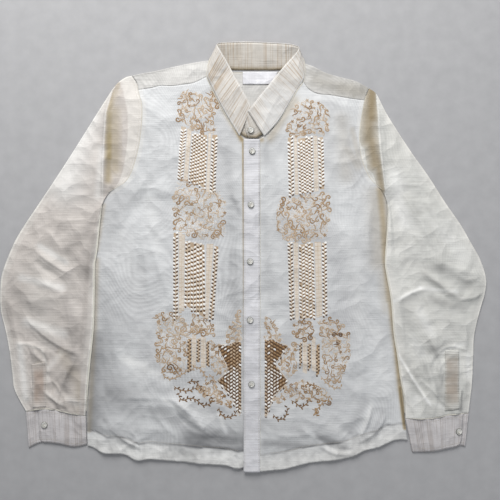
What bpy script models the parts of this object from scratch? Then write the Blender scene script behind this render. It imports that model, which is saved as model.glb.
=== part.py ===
# Long-sleeved barong tagalog shirt, laid flat on its back.
# X runs across the shirt, Y from hem to collar, Z up from the surface it lies on.
# Sizes and tables are in millimetres and are scaled to metres when a mesh is made.
import math
import bpy
import bmesh
from mathutils import Vector

WALL = 1.2
STAND_WALL = 1.0
GAP = 0.3
LAYER = WALL + GAP
HEM_TURN = 36.0
HEM_EXTRA = 0.4
PLACKET_WIDTH = 30.0
BUTTON_RADIUS = 6.0
BUTTON_THICK = 2.4
SIDE_FLAT = 12.0
SIDE_RISE = 26.0
BASE_LIFT = 1.3
SLEEVE_OVER = 6.0
SLEEVE_RISE = 3.2
EDGE_ROUND = 1.0
LABEL_THICK = 0.8

# Front and back share the armhole, so its stations are fractions of its length.
# The front yoke seam is station 2 and the back yoke seam is station 6.
ARM_STATIONS = (0.0, 0.05, 0.115, 0.22, 0.335, 0.45, 0.558, 0.70, 0.84, 0.93, 1.0)
FRONT_YOKE = 2
BACK_YOKE = 6

# Outlines as x, y. "r" is the wearer's right side, which lies at low X.
ARMHOLE = {
    "r": ((-209.1, 340), (-199.7, 326.1), (-196.9, 313.4), (-193.5, 299.2), (-189.4, 282.4), (-190.9, 238.2), (-199.2, 192.2), (-210.4, 157.8), (-223.5, 139.1), (-242.2, 127.9), (-263.3, 116.1)),
    "l": ((235.1, 316.4), (226.5, 294.3), (220.8, 263.3), (216.7, 223.3), (220.1, 186.6), (231.9, 156), (244, 140.1), (265.7, 120.4)),
}
SLEEVE_OUTER = {
    "r": ((-209.1, 340), (-222.5, 336.4), (-240.3, 321.5), (-259.9, 292.5), (-325.2, 188.7), (-371.2, 118.6), (-416.1, 51.2), (-434.8, 15.7), (-450.1, -23.6), (-455, -49.7), (-455, -96.5), (-446, -135.8), (-438.1, -177.8), (-432.9, -219.9), (-428.2, -249.8), (-407.1, -289.1)),
    "l": ((235.1, 316.4), (248.7, 306.5), (260.9, 283.1), (275.1, 257.7), (311.9, 200.8), (346.3, 152.2), (378.7, 101.7), (406.7, 61.3), (425.4, 28.8), (443, -3), (454.4, -38.5), (452.4, -66.6), (442.3, -102.1), (432.5, -145.1), (430.5, -184.4), (428, -238.6), (421.7, -291.7)),
}
SLEEVE_INNER = {
    "r": ((-263.3, 116.1), (-266.5, 88.6), (-271, 51.2), (-274.9, 13.8), (-279.4, -16.1), (-279.9, -62.8), (-281.1, -120.8), (-284.4, -161.9), (-289.1, -205), (-292.8, -253.6), (-295.5, -296.6)),
    "l": ((265.7, 120.4), (269.8, 98), (270.2, 68.1), (268.7, 32.5), (266.1, -8.6), (270.2, -38.5), (277.7, -81.5), (282.4, -141.4), (288.9, -182.5), (294.5, -223.7), (301.3, -262.9), (302.8, -301.4)),
}
SHOULDER = {
    "r": ((-58.9, 369.5), (-94.6, 364.3), (-134.6, 356), (-166.1, 348.6), (-191.7, 344.1), (-209.1, 340)),
    "l": ((110.3, 364.5), (130.7, 357.5), (153.5, 345.9), (182.1, 337.3), (210.4, 329.9), (235.1, 316.4)),
}
YOKE_FRONT = {
    "r": ((-58.5, 340.2), (-71.6, 336.6), (-94.4, 326.1), (-131.8, 320.5), (-154.3, 321.3), (-174.8, 316.4), (-195, 314.2)),
    "l": ((110.1, 331.7), (120.6, 315.7), (137.4, 305.9), (164.9, 302.8), (199.2, 297), (226.1, 292.1)),
}
HEM = {
    "r": ((0.9, -393.1), (-14, -394.4), (-33.1, -389), (-70.1, -386.9), (-103.8, -383.2), (-143.1, -380), (-174.8, -377), (-200.5, -379.4), (-225.3, -368), (-261.8, -365.8), (-282.2, -355.3), (-292.1, -352.7)),
    "l": ((32.7, -399.4), (57, -397.6), (79.5, -394.9), (113.7, -385.8), (143.1, -381.9), (176, -378.3), (203.8, -371.9), (225.3, -361.7), (251.1, -354.9), (281.1, -342.2), (305.7, -341.5)),
}
SIDE_END = {"r": (-291.5, -352.7), "l": (306.5, -341.5)}
CUFF = {
    "r": {"top": ((-407.1, -289.1), (-382.4, -283.3), (-354.4, -284.2), (-326.3, -290.2), (-295.5, -296.6)),
          "end": ((-402.1, -356.4), (-379, -346.3), (-348, -348), (-317.9, -354.6), (-293.2, -350.1)),
          "lap": 0.21, "under": 0.42},
    "l": {"top": ((421.7, -291.7), (408.6, -292.1), (382.4, -294.3), (348.8, -300.7), (302.8, -301.4)),
          "end": ((415, -354.6), (406.7, -351.9), (386.2, -356.4), (352.5, -363.2), (316, -364.7)),
          "lap": 0.09, "under": 0.36},
}
CENTRE_TOP = (15.9, 220.8)
CENTRE_X_R = (0.7, -79.7)
CENTRE_X_L = (30.7, -79.7)
NECK_FRONT = {
    "r": ((0.7, 220.8), (-14, 239.2), (-32.7, 271.9), (-47.7, 302.8), (-58.2, 338.8)),
    "l": ((30.7, 220.8), (53.3, 239.2), (76.7, 270), (93.5, 298.1), (109.8, 330.2)),
}
NECK_BACK = ((-58.9, 369.5), (-54.2, 358.7), (-38.3, 350.1), (-6.5, 348.6), (25.2, 348.6), (68.3, 348.6), (94.4, 350.1), (106.8, 355.7), (110.3, 364.5))

# Folds as x0, y0, x1, y1, width, height; a negative height is a trough.
BODY_FOLDS = (
    (-131.8, -262.9, -70.1, -322.8, 9.0, 2.6),
    (-70.1, -341.5, -0.9, -348.9, 8.0, -1.0),
    (-249.6, -319, -191.7, -356.4, 9.0, 1.6),
    (236.6, -276, 219.7, -334, 9.0, 1.8),
    (264.6, -292.8, 216, -345.2, 8.0, 1.8),
    (143.1, -341.5, 199.2, -360.2, 9.0, -1.0),
    (-197.3, 66.2, -171.1, -79.7, 12.0, 1.8),
    (-171.1, 26.9, -137.4, -79.7, 12.0, 1.5),
    (-216, 66.2, -234.7, -98.4, 13.0, 1.6),
    (-182.3, 79.3, -133.7, 13.8, 11.0, 1.4),
    (191.7, 253.2, 202.9, 98, 13.0, 1.6),
    (176.7, 88.6, 202.9, -79.7, 14.0, 1.4),
    (229.1, 79.3, 221.6, -135.8, 13.0, 1.6),
    (-174.8, 275.6, -159.9, 126, 13.0, 1.5),
    (-234.7, -135.8, -216, -304.1, 14.0, 1.3),
)
SLEEVE_FOLDS = {
    "r": (
        (-245.9, 316.8, -257.5, 256.9, 8.0, 3.2),
        (-257.5, 256.9, -262.4, 126, 8.0, 3.4),
        (-234.7, 294.3, -236.6, 172.8, 9.0, -1.6),
        (-298.3, 219.5, -343.1, 98, 16.0, 1.8),
        (-388, 10.1, -328.2, -31, 9.0, 2.8),
        (-384.3, -10.5, -343.1, -42.3, 7.0, -1.6),
        (-341.3, -61, -309.5, -184.4, 10.0, 2.0),
        (-403, -117.1, -311.4, -180.6, 8.0, 2.6),
        (-417.9, -160.1, -363.7, -201.2, 7.0, 2.2),
        (-313.2, -186.3, -352.5, -259.2, 8.0, 1.8),
        (-374.9, -246.1, -335.7, -277.9, 7.0, 1.6),
    ),
    "l": (
        (250.6, 303.7, 252.3, 255.1, 8.0, 2.8),
        (252.3, 255.1, 263.9, 126, 8.0, 3.2),
        (292.7, 126, 352.5, 36.3, 13.0, 2.6),
        (352.5, 36.3, 360, 6.4, 10.0, 2.0),
        (391.8, -23.6, 447.9, -32.9, 8.0, 2.6),
        (335.7, -27.3, 404.9, -75.9, 9.0, 2.6),
        (404.9, -75.9, 449.7, -62.8, 8.0, 2.2),
        (292.7, -77.8, 335.7, -59.1, 9.0, 2.2),
        (354.4, -212.4, 378.7, -176.9, 8.0, -1.6),
        (290.8, -184.4, 346.9, -274.1, 9.0, 2.0),
        (389.9, -98.4, 408.6, -163.8, 10.0, 1.6),
    ),
}

# Collar sections from the right front to the left front of the wearer.
# neck x, y, z; fold line x, y, z; free edge x, y, z; roll 0 on top, 1 rolled under.
COLLAR = (
    (7.5, 223.7, 2.4, 15, 278.4, 7.2, -7.9, 225.9, 5.0, 0.0),
    (-6.5, 232.3, 2.4, 6.9, 295.3, 8.2, -20.4, 246.5, 5.2, 0.0),
    (-23.7, 258.4, 2.4, -4.3, 314.3, 9.4, -34.2, 268.9, 5.2, 0.0),
    (-39.1, 286.9, 2.4, -17.8, 338.3, 10.6, -49.2, 297.3, 5.2, 0.0),
    (-51.4, 316, 2.4, -30.1, 361.7, 11.6, -59.7, 318.6, 5.2, 0.0),
    (-57.4, 343, 2.3, -41.7, 381.5, 12.2, -67.9, 336.6, 5.0, 0.0),
    (-53.3, 360.9, 1.8, -48.8, 393.1, 12.4, -67.1, 353.1, 4.4, 0.1),
    (-46.9, 358.3, 1.2, -47.3, 397.4, 12.0, -61.5, 373.6, 2.6, 0.4),
    (-36.5, 353.1, 0.8, -38.3, 399.2, 11.4, -49.6, 375.5, 0.8, 0.9),
    (-19.6, 351.2, 0.7, -19.6, 400.2, 11.0, -25.2, 367.3, 0.8, 1.0),
    (4.7, 350.8, 0.7, 4.7, 400.9, 10.8, 4.7, 365.4, 0.8, 1.0),
    (30.9, 350.8, 0.7, 30.9, 400.2, 10.8, 30.9, 365.4, 0.8, 1.0),
    (57, 350.8, 0.7, 57, 398.7, 11.0, 58.9, 366.1, 0.8, 1.0),
    (81.3, 352.3, 0.7, 79.5, 397.2, 11.4, 87, 371.8, 0.8, 1.0),
    (93.7, 354.9, 0.9, 95.6, 394.4, 12.0, 102.7, 379.2, 0.9, 0.8),
    (102.3, 359, 1.6, 103.4, 389.7, 12.4, 112, 369.9, 3.0, 0.3),
    (105.7, 345.9, 2.2, 98.2, 379.2, 12.6, 114.3, 350.4, 4.6, 0.05),
    (104.5, 325.4, 2.3, 82.5, 361.7, 12.4, 111.3, 328.7, 5.2, 0.0),
    (89.9, 298.1, 2.4, 64.5, 341.1, 11.8, 99.7, 311.9, 5.4, 0.0),
    (73.5, 271.5, 2.6, 47.3, 319.8, 11.0, 84.3, 284.6, 5.8, 0.0),
    (52.2, 243.5, 3.2, 30.1, 298.8, 10.2, 65.3, 253.9, 6.2, 0.0),
    (24.5, 223.3, 3.9, 8.4, 271.5, 9.2, 39.5, 225.1, 6.6, 0.0),
)
STAND_END = (9.2, 224, 4.3, 2.8, 261.8, 6.0)

BUTTONS = (
    ("button_1", (16.3, 198), 0.0),
    ("button_2", (14, 98), 0.0),
    ("button_3", (12.5, -7.7), 0.0),
    ("button_4", (12.5, -117.1), 0.0),
    ("button_5", (15.1, -236.7), 0.0),
)
COLLAR_BUTTON = (13.8, 237.1)
CUFF_BUTTON = {"r": (-371.9, -313), "l": (402.6, -325.4)}
LABEL = ((-1.5, 347.4), (63.4, 323.9))
SLEEVE_PLACKET = {
    "r": ((-395.5, -199.3), (-371.2, -195.6), (-392.7, -279.8), (-368.2, -279)),
    "l": ((403, -173.2), (376.8, -173.2), (403, -283.5), (375.7, -287.2)),
}

CLOTH = (0.80, 0.79, 0.74)
YOKE_CLOTH = (0.82, 0.78, 0.70)
SLEEVE_CLOTH = (0.80, 0.77, 0.72)
PEARL = (0.84, 0.83, 0.80)
WHITE = (0.90, 0.90, 0.89)


def step(v):
    v = min(1.0, max(0.0, v))
    return v * v * (3.0 - 2.0 * v)


def mix(a, b, k):
    return tuple(p + (q - p) * k for p, q in zip(a, b))


def smooth_line(points, parts=6):
    """Catmull-Rom curve through a row of points."""
    out = []
    n = len(points)
    for i in range(n - 1):
        p0 = points[max(i - 1, 0)]
        p1 = points[i]
        p2 = points[i + 1]
        p3 = points[min(i + 2, n - 1)]
        for k in range(parts):
            u = k / parts
            out.append(tuple(
                0.5 * (2 * b + (c - a) * u + (2 * a - 5 * b + 4 * c - d) * u * u
                       + (3 * b - a - 3 * c + d) * u * u * u)
                for a, b, c, d in zip(p0, p1, p2, p3)))
    out.append(tuple(points[-1]))
    return out


class Line:
    """A smooth plan curve, read by fraction of its length."""

    def __init__(self, points):
        self.pts = smooth_line(points)
        self.run = [0.0]
        for a, b in zip(self.pts, self.pts[1:]):
            self.run.append(self.run[-1] + math.dist(a[:2], b[:2]))

    def at(self, k):
        want = min(1.0, max(0.0, k)) * self.run[-1]
        for i in range(len(self.pts) - 1):
            if want <= self.run[i + 1]:
                span = self.run[i + 1] - self.run[i]
                u = (want - self.run[i]) / span if span > 1e-9 else 0.0
                return mix(self.pts[i], self.pts[i + 1], u)
        return self.pts[-1]

    def gap_to(self, x, y):
        best = 1e9
        for a, b in zip(self.pts, self.pts[1:]):
            best = min(best, segment(x, y, a[0], a[1], b[0], b[1])[0])
        return best


def segment(x, y, x0, y0, x1, y1):
    """Distance to a segment and the fraction along it."""
    dx = x1 - x0
    dy = y1 - y0
    u = ((x - x0) * dx + (y - y0) * dy) / (dx * dx + dy * dy + 1e-9)
    v = min(1.0, max(0.0, u))
    return math.hypot(x - x0 - dx * v, y - y0 - dy * v), v


def folds(rows, x, y):
    """Sum of soft ridges and troughs, each fading out at its ends."""
    total = 0.0
    for x0, y0, x1, y1, width, height in rows:
        d, u = segment(x, y, x0, y0, x1, y1)
        fade = 0.45 + 0.55 * math.sin(math.pi * min(1.0, max(0.0, u)))
        total += height * fade * math.exp(-(d / width) ** 2)
    return total


ARM = {k: Line(v) for k, v in ARMHOLE.items()}
OUTER = {k: Line(v) for k, v in SLEEVE_OUTER.items()}
INNER = {k: Line(v) for k, v in SLEEVE_INNER.items()}
SHOULDER_LINE = {k: Line(v) for k, v in SHOULDER.items()}
YOKE_LINE = {k: Line(v[:-1] + (ARM[k].at(ARM_STATIONS[FRONT_YOKE])[:2],)) for k, v in YOKE_FRONT.items()}
SIGN = {"r": 1.0, "l": -1.0}


def side_point(side, k):
    """Side seam of the body, tucked a little under the sleeve in its middle."""
    x, y = INNER[side].at(k * 0.985)[:2]
    over = SLEEVE_OVER * step((k - 0.16) / 0.2) * (1.0 - step((k - 0.78) / 0.14))
    clear = 0.8 * (1.0 - step((k - 0.16) / 0.1)) + 1.6 * step((k - 0.8) / 0.1)
    return (x + SIGN[side] * (clear - over), y)


def side_rows(side, count):
    rows = [side_point(side, i / count) for i in range(count + 1)]
    end = SIDE_END[side]
    rows[0] = ARM[side].at(1.0)
    return rows + [mix(rows[-1], end, 0.5), end]


SIDE = {s: Line(side_rows(s, 16)) for s in ("r", "l")}


def body_lift(x, y):
    """How far the upper layer of the body stands off the lower one."""
    side = "r" if x < 0.0 else "l"
    near = min(SIDE[side].gap_to(x, y) - SIDE_FLAT, SHOULDER_LINE[side].gap_to(x, y) - 2.0)
    collar = math.hypot(x - 15.0, (y - 300.0) * 0.8)
    wave = 0.45 * math.sin(x * 0.021 + y * 0.011) * math.sin(y * 0.017 - x * 0.006)
    lift = BASE_LIFT + wave + folds(BODY_FOLDS, x, y) * step((collar - 75.0) / 50.0)
    return max(0.05, lift) * step(near / SIDE_RISE)


def patch(top, bottom, left, right, s, t):
    """Point of a four-sided plan patch with curved sides."""
    a = top(s)
    b = bottom(s)
    c = left(t)
    d = right(t)
    out = []
    for i in (0, 1):
        corners = ((1 - s) * (1 - t) * top(0.0)[i] + s * (1 - t) * top(1.0)[i]
                   + (1 - s) * t * bottom(0.0)[i] + s * t * bottom(1.0)[i])
        out.append((1 - t) * a[i] + t * b[i] + (1 - s) * c[i] + s * d[i] - corners)
    return tuple(out)


def cloth_material(name, colour, roughness=0.75):
    mat = bpy.data.materials.new(name)
    mat.use_nodes = True
    node = mat.node_tree.nodes["Principled BSDF"]
    node.inputs["Base Color"].default_value = (*colour, 1.0)
    node.inputs["Roughness"].default_value = roughness
    node.inputs["Metallic"].default_value = 0.0
    return mat


def wall(name, outer, inner, colour, wrap=False):
    """Closed cloth wall between two grids of points, with None where it is cut away."""
    bm = bmesh.new()
    skins = []
    for grid in (outer, inner):
        skins.append([[bm.verts.new(Vector(p) * 0.001) if p else None for p in row] for row in grid])
    rows = len(outer)
    cols = len(outer[0])
    used = {}
    for i in range(rows - 1):
        for j in range(cols if wrap else cols - 1):
            k = (j + 1) % cols
            keys = ((i, j), (i, k), (i + 1, k), (i + 1, j))
            if any(outer[a][b] is None for a, b in keys):
                continue
            for tri in ((0, 1, 2), (0, 2, 3)):
                bm.faces.new([skins[0][keys[q][0]][keys[q][1]] for q in tri])
                bm.faces.new([skins[1][keys[q][0]][keys[q][1]] for q in reversed(tri)])
            for a, b in zip(keys, keys[1:] + keys[:1]):
                if (b, a) in used:
                    del used[(b, a)]
                else:
                    used[(a, b)] = True
    for a, b in used:
        quad = (skins[0][b[0]][b[1]], skins[0][a[0]][a[1]], skins[1][a[0]][a[1]], skins[1][b[0]][b[1]])
        bm.faces.new(quad)
    bmesh.ops.delete(bm, geom=[v for v in bm.verts if not v.link_faces], context="VERTS")
    bmesh.ops.recalc_face_normals(bm, faces=bm.faces)
    mesh = bpy.data.meshes.new(name)
    bm.to_mesh(mesh)
    bm.free()
    obj = bpy.data.objects.new(name, mesh)
    home.objects.link(obj)
    obj.data.materials.append(cloth_material(name + "_material", colour))
    obj.parent = root
    return obj


def thicken(grid, thick):
    """Two skins either side of a grid of points, along its own normals."""
    rows = len(grid)
    cols = len(grid[0])
    up = []
    down = []
    for i in range(rows):
        top = []
        low = []
        for j in range(cols):
            a = Vector(grid[min(i + 1, rows - 1)][j]) - Vector(grid[max(i - 1, 0)][j])
            b = Vector(grid[i][min(j + 1, cols - 1)]) - Vector(grid[i][max(j - 1, 0)])
            n = a.cross(b).normalized() * thick * 0.5
            top.append(tuple(Vector(grid[i][j]) + n))
            low.append(tuple(Vector(grid[i][j]) - n))
        up.append(top)
        down.append(low)
    return up, down


def front_rows():
    """Row stations: y on the centre front, and whether the row ends on armhole or side."""
    arm = len(ARM_STATIONS) - 1 - FRONT_YOKE
    below = 20
    y_top = CENTRE_TOP[1]
    y_pit = ARM["r"].at(1.0)[1] - 20.0
    y_end = HEM["l"][0][1]
    rows = []
    for i in range(arm + 1):
        rows.append((y_top + (y_pit - y_top) * i / arm, "arm", ARM_STATIONS[FRONT_YOKE + i]))
    for i in range(1, below + 1):
        rows.append((y_pit + (y_end - y_pit) * i / below, "side", i / below))
    return rows


def front_grid(side):
    """Plan points of one front, rows from the neck down, columns by rising X."""
    sgn = SIGN[side]
    rows = front_rows()
    x_in = CENTRE_X_R[0] if side == "r" else CENTRE_X_L[0]
    y0 = rows[0][0]
    y1 = rows[-1][0]
    neck = Line(NECK_FRONT[side])
    yoke = YOKE_LINE[side]
    hem = Line(HEM[side])
    neck_share = 0.4
    wide = 10

    def top(s):
        if s <= neck_share:
            return neck.at(s / neck_share)
        x, y = yoke.at((s - neck_share) / (1.0 - neck_share))[:2]
        return (x, y - GAP)

    def bottom(s):
        return hem.at(s)

    def inner_edge(t):
        return (x_in, y0 + (hem.at(0.0)[1] - y0) * t)

    grid = []
    for y, kind, k in rows:
        t = (y0 - y) / (y0 - y1)
        if kind == "arm":
            edge = ARM[side].at(k)
        else:
            edge = SIDE[side].at(k)
        row = []
        for j in range(wide + 1):
            s = j / wide
            row.append(patch(top, bottom, inner_edge, lambda t: edge, s, t))
        grid.append(row)
    return grid


def hem_step(x, y, side):
    """Extra height where the hem is turned up inside."""
    hem = HEM_LINE[side]
    return HEM_EXTRA * (1.0 - step((hem.gap_to(x, y) - HEM_TURN) / 6.0))


HEM_LINE = {s: Line(HEM[s]) for s in ("r", "l")}


def front_height(x, y):
    """Underside of the upper layer; it steps up where the left front laps over the right."""
    over = step((x - CENTRE_X_R[0] + 12.0) / 10.0) * (1.0 - step((x - CENTRE_X_L[0] - 4.0) / 14.0))
    return LAYER + body_lift(x, y), over * LAYER


def build_front(side, name):
    rows = front_rows()
    plan = front_grid(side)
    band = []
    xs = [CENTRE_X_R[0], 0.5 * (CENTRE_X_R[0] + CENTRE_X_L[0]), CENTRE_X_L[0]]
    y_end = rows[-1][0]
    for i, (y, kind, k) in enumerate(rows):
        t = (rows[0][0] - y) / (rows[0][0] - y_end)
        if side == "r":
            low = y + (HEM["r"][0][1] - y_end) * step((t - 0.9) / 0.1)
            plan[i][0] = (xs[0], low if i == len(rows) - 1 else y)
            extra = [(xs[1], plan[i][0][1]), (xs[2], plan[i][0][1])]
            row = list(reversed(plan[i])) + extra
        else:
            plan[i][0] = (xs[2], y)
            row = [(xs[0], y), (xs[1], y)] + plan[i]
        band.append(row)
    outer = []
    inner = []
    for row in band:
        top = []
        low = []
        for x, y in row:
            base, over = front_height(x, y)
            lapped = over if side == "l" else 0.0
            if lapped > 0.0:
                lapped += hem_step(x, y, "r")
            z = base + lapped
            low.append((x, y, z))
            top.append((x, y, z + WALL + hem_step(x, y, side)))
        outer.append(top)
        inner.append(low)
    wall(name, outer, inner, CLOTH)
    return outer


def build_placket(front):
    """Front placket strip, made from the left front's own points moved out."""
    cols = (0, 1, 2)
    low = [[(row[c][0], row[c][1], row[c][2] + GAP) for c in cols] for row in front]
    for row in low:
        row[0] = (row[0][0] - 0.4, row[0][1], row[0][2])
    y_end = low[-1][0][1]
    low[-1] = [(x, y_end - 1.5, z) for x, y, z in low[-1]]
    up = [[(x, y, z + WALL) for x, y, z in row] for row in low]
    wall("front_placket", up, low, CLOTH)
    return up


def build_back():
    """Back panel, flat on the surface, from the yoke seam to the hem."""
    stations = ARM_STATIONS[BACK_YOKE:]
    below = 10
    edges = []
    for k in stations:
        edges.append((ARM["r"].at(k), ARM["l"].at(k)))
    for i in range(1, below + 1):
        edges.append((SIDE["r"].at(i / below), SIDE["l"].at(i / below)))
    hem_points = tuple(reversed(HEM["r"])) + HEM["l"]
    hem = Line(hem_points)
    cols = 12
    rows = len(edges)
    grid = []
    seam_r, seam_l = edges[0]
    for i, (a, b) in enumerate(edges):
        t = i / (rows - 1)
        row = []
        for j in range(cols + 1):
            s = j / cols
            x, y = mix(a, b, s)
            y += (hem.at(s)[1] + 3.0 - y) * step((t - 0.5) / 0.5)
            if i == 0:
                y -= GAP
            row.append((x, y))
        grid.append(row)
    low = [[(x, y, 0.0) for x, y in row] for row in grid]
    up = [[(x, y, WALL) for x, y in row] for row in grid]
    wall("back", up, low, CLOTH)


def build_yoke():
    """One piece over both shoulders: lower plate, shoulder folds and the two front wings."""
    arm_rows = ARM_STATIONS[:BACK_YOKE + 1]
    wing = 6
    neck_cols = 8
    neck = Line(NECK_BACK)
    seam_y = 0.5 * (ARM["r"].at(arm_rows[-1])[1] + ARM["l"].at(arm_rows[-1])[1])
    tops = []
    for j in range(wing + 1):
        tops.append(("r", SHOULDER_LINE["r"].at(1.0 - j / wing)))
    for j in range(1, neck_cols):
        tops.append(("n", neck.at(j / neck_cols)))
    for j in range(wing + 1):
        tops.append(("l", SHOULDER_LINE["l"].at(j / wing)))
    cols = len(tops)
    left_low = ARM["r"].at(arm_rows[-1])
    right_low = ARM["l"].at(arm_rows[-1])
    x_first = tops[0][1][0]
    x_last = tops[-1][1][0]
    plate = []
    for i in range(len(arm_rows) - 1, 0, -1):
        t = i / (len(arm_rows) - 1)
        a = ARM["r"].at(arm_rows[i])
        b = ARM["l"].at(arm_rows[i])
        row = []
        for j, (kind, p) in enumerate(tops):
            s = (p[0] - x_first) / (x_last - x_first)
            low = mix(left_low, right_low, s)
            x = p[0] + (low[0] - p[0]) * t
            y = p[1] + (low[1] - p[1]) * t
            x += (a[0] - (tops[0][1][0] + (left_low[0] - tops[0][1][0]) * t)) * (1 - s) ** 3
            y += (a[1] - (tops[0][1][1] + (left_low[1] - tops[0][1][1]) * t)) * (1 - s) ** 3
            x += (b[0] - (tops[-1][1][0] + (right_low[0] - tops[-1][1][0]) * t)) * s ** 3
            y += (b[1] - (tops[-1][1][1] + (right_low[1] - tops[-1][1][1]) * t)) * s ** 3
            row.append((x, y))
        plate.append(row)
    outer = [[(x, y, 0.0) for x, y in row] for row in plate]
    inner = [[(x, y, WALL) for x, y in row] for row in plate]
    half = LAYER * 0.5 + WALL * 0.5
    rim_o = []
    rim_i = []
    fold_o = []
    fold_i = []
    over_o = []
    over_i = []
    for j, (kind, p) in enumerate(tops):
        x, y = p[:2]
        if j in (0, cols - 1):
            rim = [ARM[kind].at(d / ARM[kind].run[-1])[:2] for d in (EDGE_ROUND, EDGE_ROUND + 0.6, WALL + 0.2)]
        else:
            rim = [(x, y - d) for d in (EDGE_ROUND, EDGE_ROUND + 0.6, WALL + 0.2)]
        if kind == "n":
            rim_o.append((x, y, 0.0))
            rim_i.append((x, y, WALL))
            for row in (fold_o, fold_i, over_o, over_i):
                row.append(None)
        else:
            rim_o.append((*rim[0], 0.0))
            rim_i.append((*rim[1], WALL))
            fold_o.append((x, y, half))
            fold_i.append((*rim[2], half))
            over_o.append((*rim[0], LAYER + WALL))
            over_i.append((*rim[1], LAYER))
    outer += [rim_o, fold_o, over_o]
    inner += [rim_i, fold_i, over_i]
    steps = 3
    for i in range(1, steps + 1):
        row_o = []
        row_i = []
        for j, (kind, p) in enumerate(tops):
            if kind == "n":
                row_o.append(None)
                row_i.append(None)
                continue
            k = 1.0 - j / wing if kind == "r" else (j - wing - neck_cols) / wing
            seam = YOKE_LINE[kind].at(k)
            x, y = mix(p[:2], seam[:2], i / steps)
            if k > 0.999 and i < steps:
                x, y = ARM[kind].at(ARM_STATIONS[FRONT_YOKE] * i / steps)[:2]
            if k > 0.999 and i == steps:
                x, y = ARM[kind].at(ARM_STATIONS[FRONT_YOKE])[:2]
            z = LAYER + body_lift(x, y)
            row_o.append((x, y, z + WALL))
            row_i.append((x, y, z))
        outer.append(row_o)
        inner.append(row_i)
    wall("yoke", outer, inner, YOKE_CLOTH)


def sleeve_plan(side, row, s):
    """Plan point of a sleeve section: row 0 is the armhole, row 1 the cuff seam."""
    head = 0.16
    outer = OUTER[side].at(row ** 0.92)
    inner = INNER[side].at(step(row) * 0.35 + row * 0.65)
    x, y = mix(outer[:2], inner[:2], s)
    if row < head:
        a = ARM[side].at(s)
        chord = mix(ARM[side].at(0.0), ARM[side].at(1.0), s)
        fade = (1.0 - row / head) ** 1.6
        x += (a[0] - chord[0]) * fade
        y += (a[1] - chord[1]) * fade
    if row > 0.84:
        seam = CUFF_TOP[side].at(s)
        chord = mix(CUFF_TOP[side].at(0.0), CUFF_TOP[side].at(1.0), s)
        fade = ((row - 0.84) / 0.16) ** 2
        x += (seam[0] - chord[0]) * fade
        y += (seam[1] - chord[1]) * fade
    return (x, y)


CUFF_TOP = {s: Line(CUFF[s]["top"]) for s in ("r", "l")}
CUFF_END = {s: Line(CUFF[s]["end"]) for s in ("r", "l")}


def sleeve_base(row, away):
    """Lift of the sleeve's lower layer where its inner edge lies on the body."""
    reach = step((row - 0.03) / 0.12) * (1.0 - step((row - 0.82) / 0.13))
    return SLEEVE_RISE * reach * (1.0 - step((away - 11.0) / 16.0))


def sleeve_lift(side, row, s, x, y, width):
    near = min(s, 1.0 - s) * width
    wave = 0.5 * math.sin(y * 0.024 + x * 0.013 + 1.0) * math.sin(x * 0.031)
    lift = BASE_LIFT + 0.4 + wave + folds(SLEEVE_FOLDS[side], x, y)
    own = max(0.05, lift) * step((near - 2.0) / 20.0)
    join = step(row / 0.09)
    return own * join + max(0.05, body_lift(x, y)) * (1.0 - join)


def sleeve_layers(side, row, s):
    """Lower and upper layer heights (undersides) of the sleeve at a plan fraction."""
    x, y = sleeve_plan(side, row, s)
    a = sleeve_plan(side, row, 0.0)
    b = sleeve_plan(side, row, 1.0)
    width = math.dist(a, b)
    base = sleeve_base(row, (1.0 - s) * width)
    return x, y, base, base + LAYER + sleeve_lift(side, row, s, x, y, width)


def build_sleeve(side, name):
    rings = 26
    outer = []
    inner = []
    for i in range(rings + 1):
        row = i / rings
        row = row * 0.7 + row * row * 0.3
        ring_o = []
        ring_i = []
        a = sleeve_plan(side, row, 0.0)
        b = sleeve_plan(side, row, 1.0)
        width = math.dist(a, b)
        stations = list(ARM_STATIONS)
        stations[0] = EDGE_ROUND / width
        stations[-1] = 1.0 - EDGE_ROUND / width
        shift_x = 0.0
        shift_y = 0.0
        if i == 0:
            shift_x = -SIGN[side] * GAP * 1.3
        if i == rings:
            shift_y = GAP * 2.0
        for s in stations:
            x, y, low, up = sleeve_layers(side, row, s)
            ring_o.append((x + shift_x, y + shift_y, low))
            ring_i.append((x + shift_x, y + shift_y, low + WALL))
        x, y, low, up = sleeve_layers(side, row, 1.0)
        far = mix((x, y), sleeve_plan(side, row, 0.97), WALL / (0.03 * width))
        ring_o.append((x + shift_x, y + shift_y, low + LAYER * 0.5 + WALL * 0.5))
        ring_i.append((far[0] + shift_x, far[1] + shift_y, low + LAYER * 0.5 + WALL * 0.5))
        for s in reversed(stations):
            x, y, low, up = sleeve_layers(side, row, s)
            ring_o.append((x + shift_x, y + shift_y, up + WALL))
            ring_i.append((x + shift_x, y + shift_y, up))
        x, y, low, up = sleeve_layers(side, row, 0.0)
        far = mix((x, y), sleeve_plan(side, row, 0.03), WALL / (0.03 * width))
        ring_o.append((x + shift_x, y + shift_y, low + LAYER * 0.5 + WALL * 0.5))
        ring_i.append((far[0] + shift_x, far[1] + shift_y, low + LAYER * 0.5 + WALL * 0.5))
        n = len(stations)
        tuck = sleeve_plan(side, row, stations[0] + 0.6 / width)
        ring_i[0] = (tuck[0] + shift_x, tuck[1] + shift_y, ring_i[0][2])
        ring_i[2 * n] = (tuck[0] + shift_x, tuck[1] + shift_y, ring_i[2 * n][2])
        tuck = sleeve_plan(side, row, stations[-1] - 0.6 / width)
        ring_i[n - 1] = (tuck[0] + shift_x, tuck[1] + shift_y, ring_i[n - 1][2])
        ring_i[n + 1] = (tuck[0] + shift_x, tuck[1] + shift_y, ring_i[n + 1][2])
        outer.append(ring_o)
        inner.append(ring_i)
    wall(name, outer, inner, SLEEVE_CLOTH, wrap=True)


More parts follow.
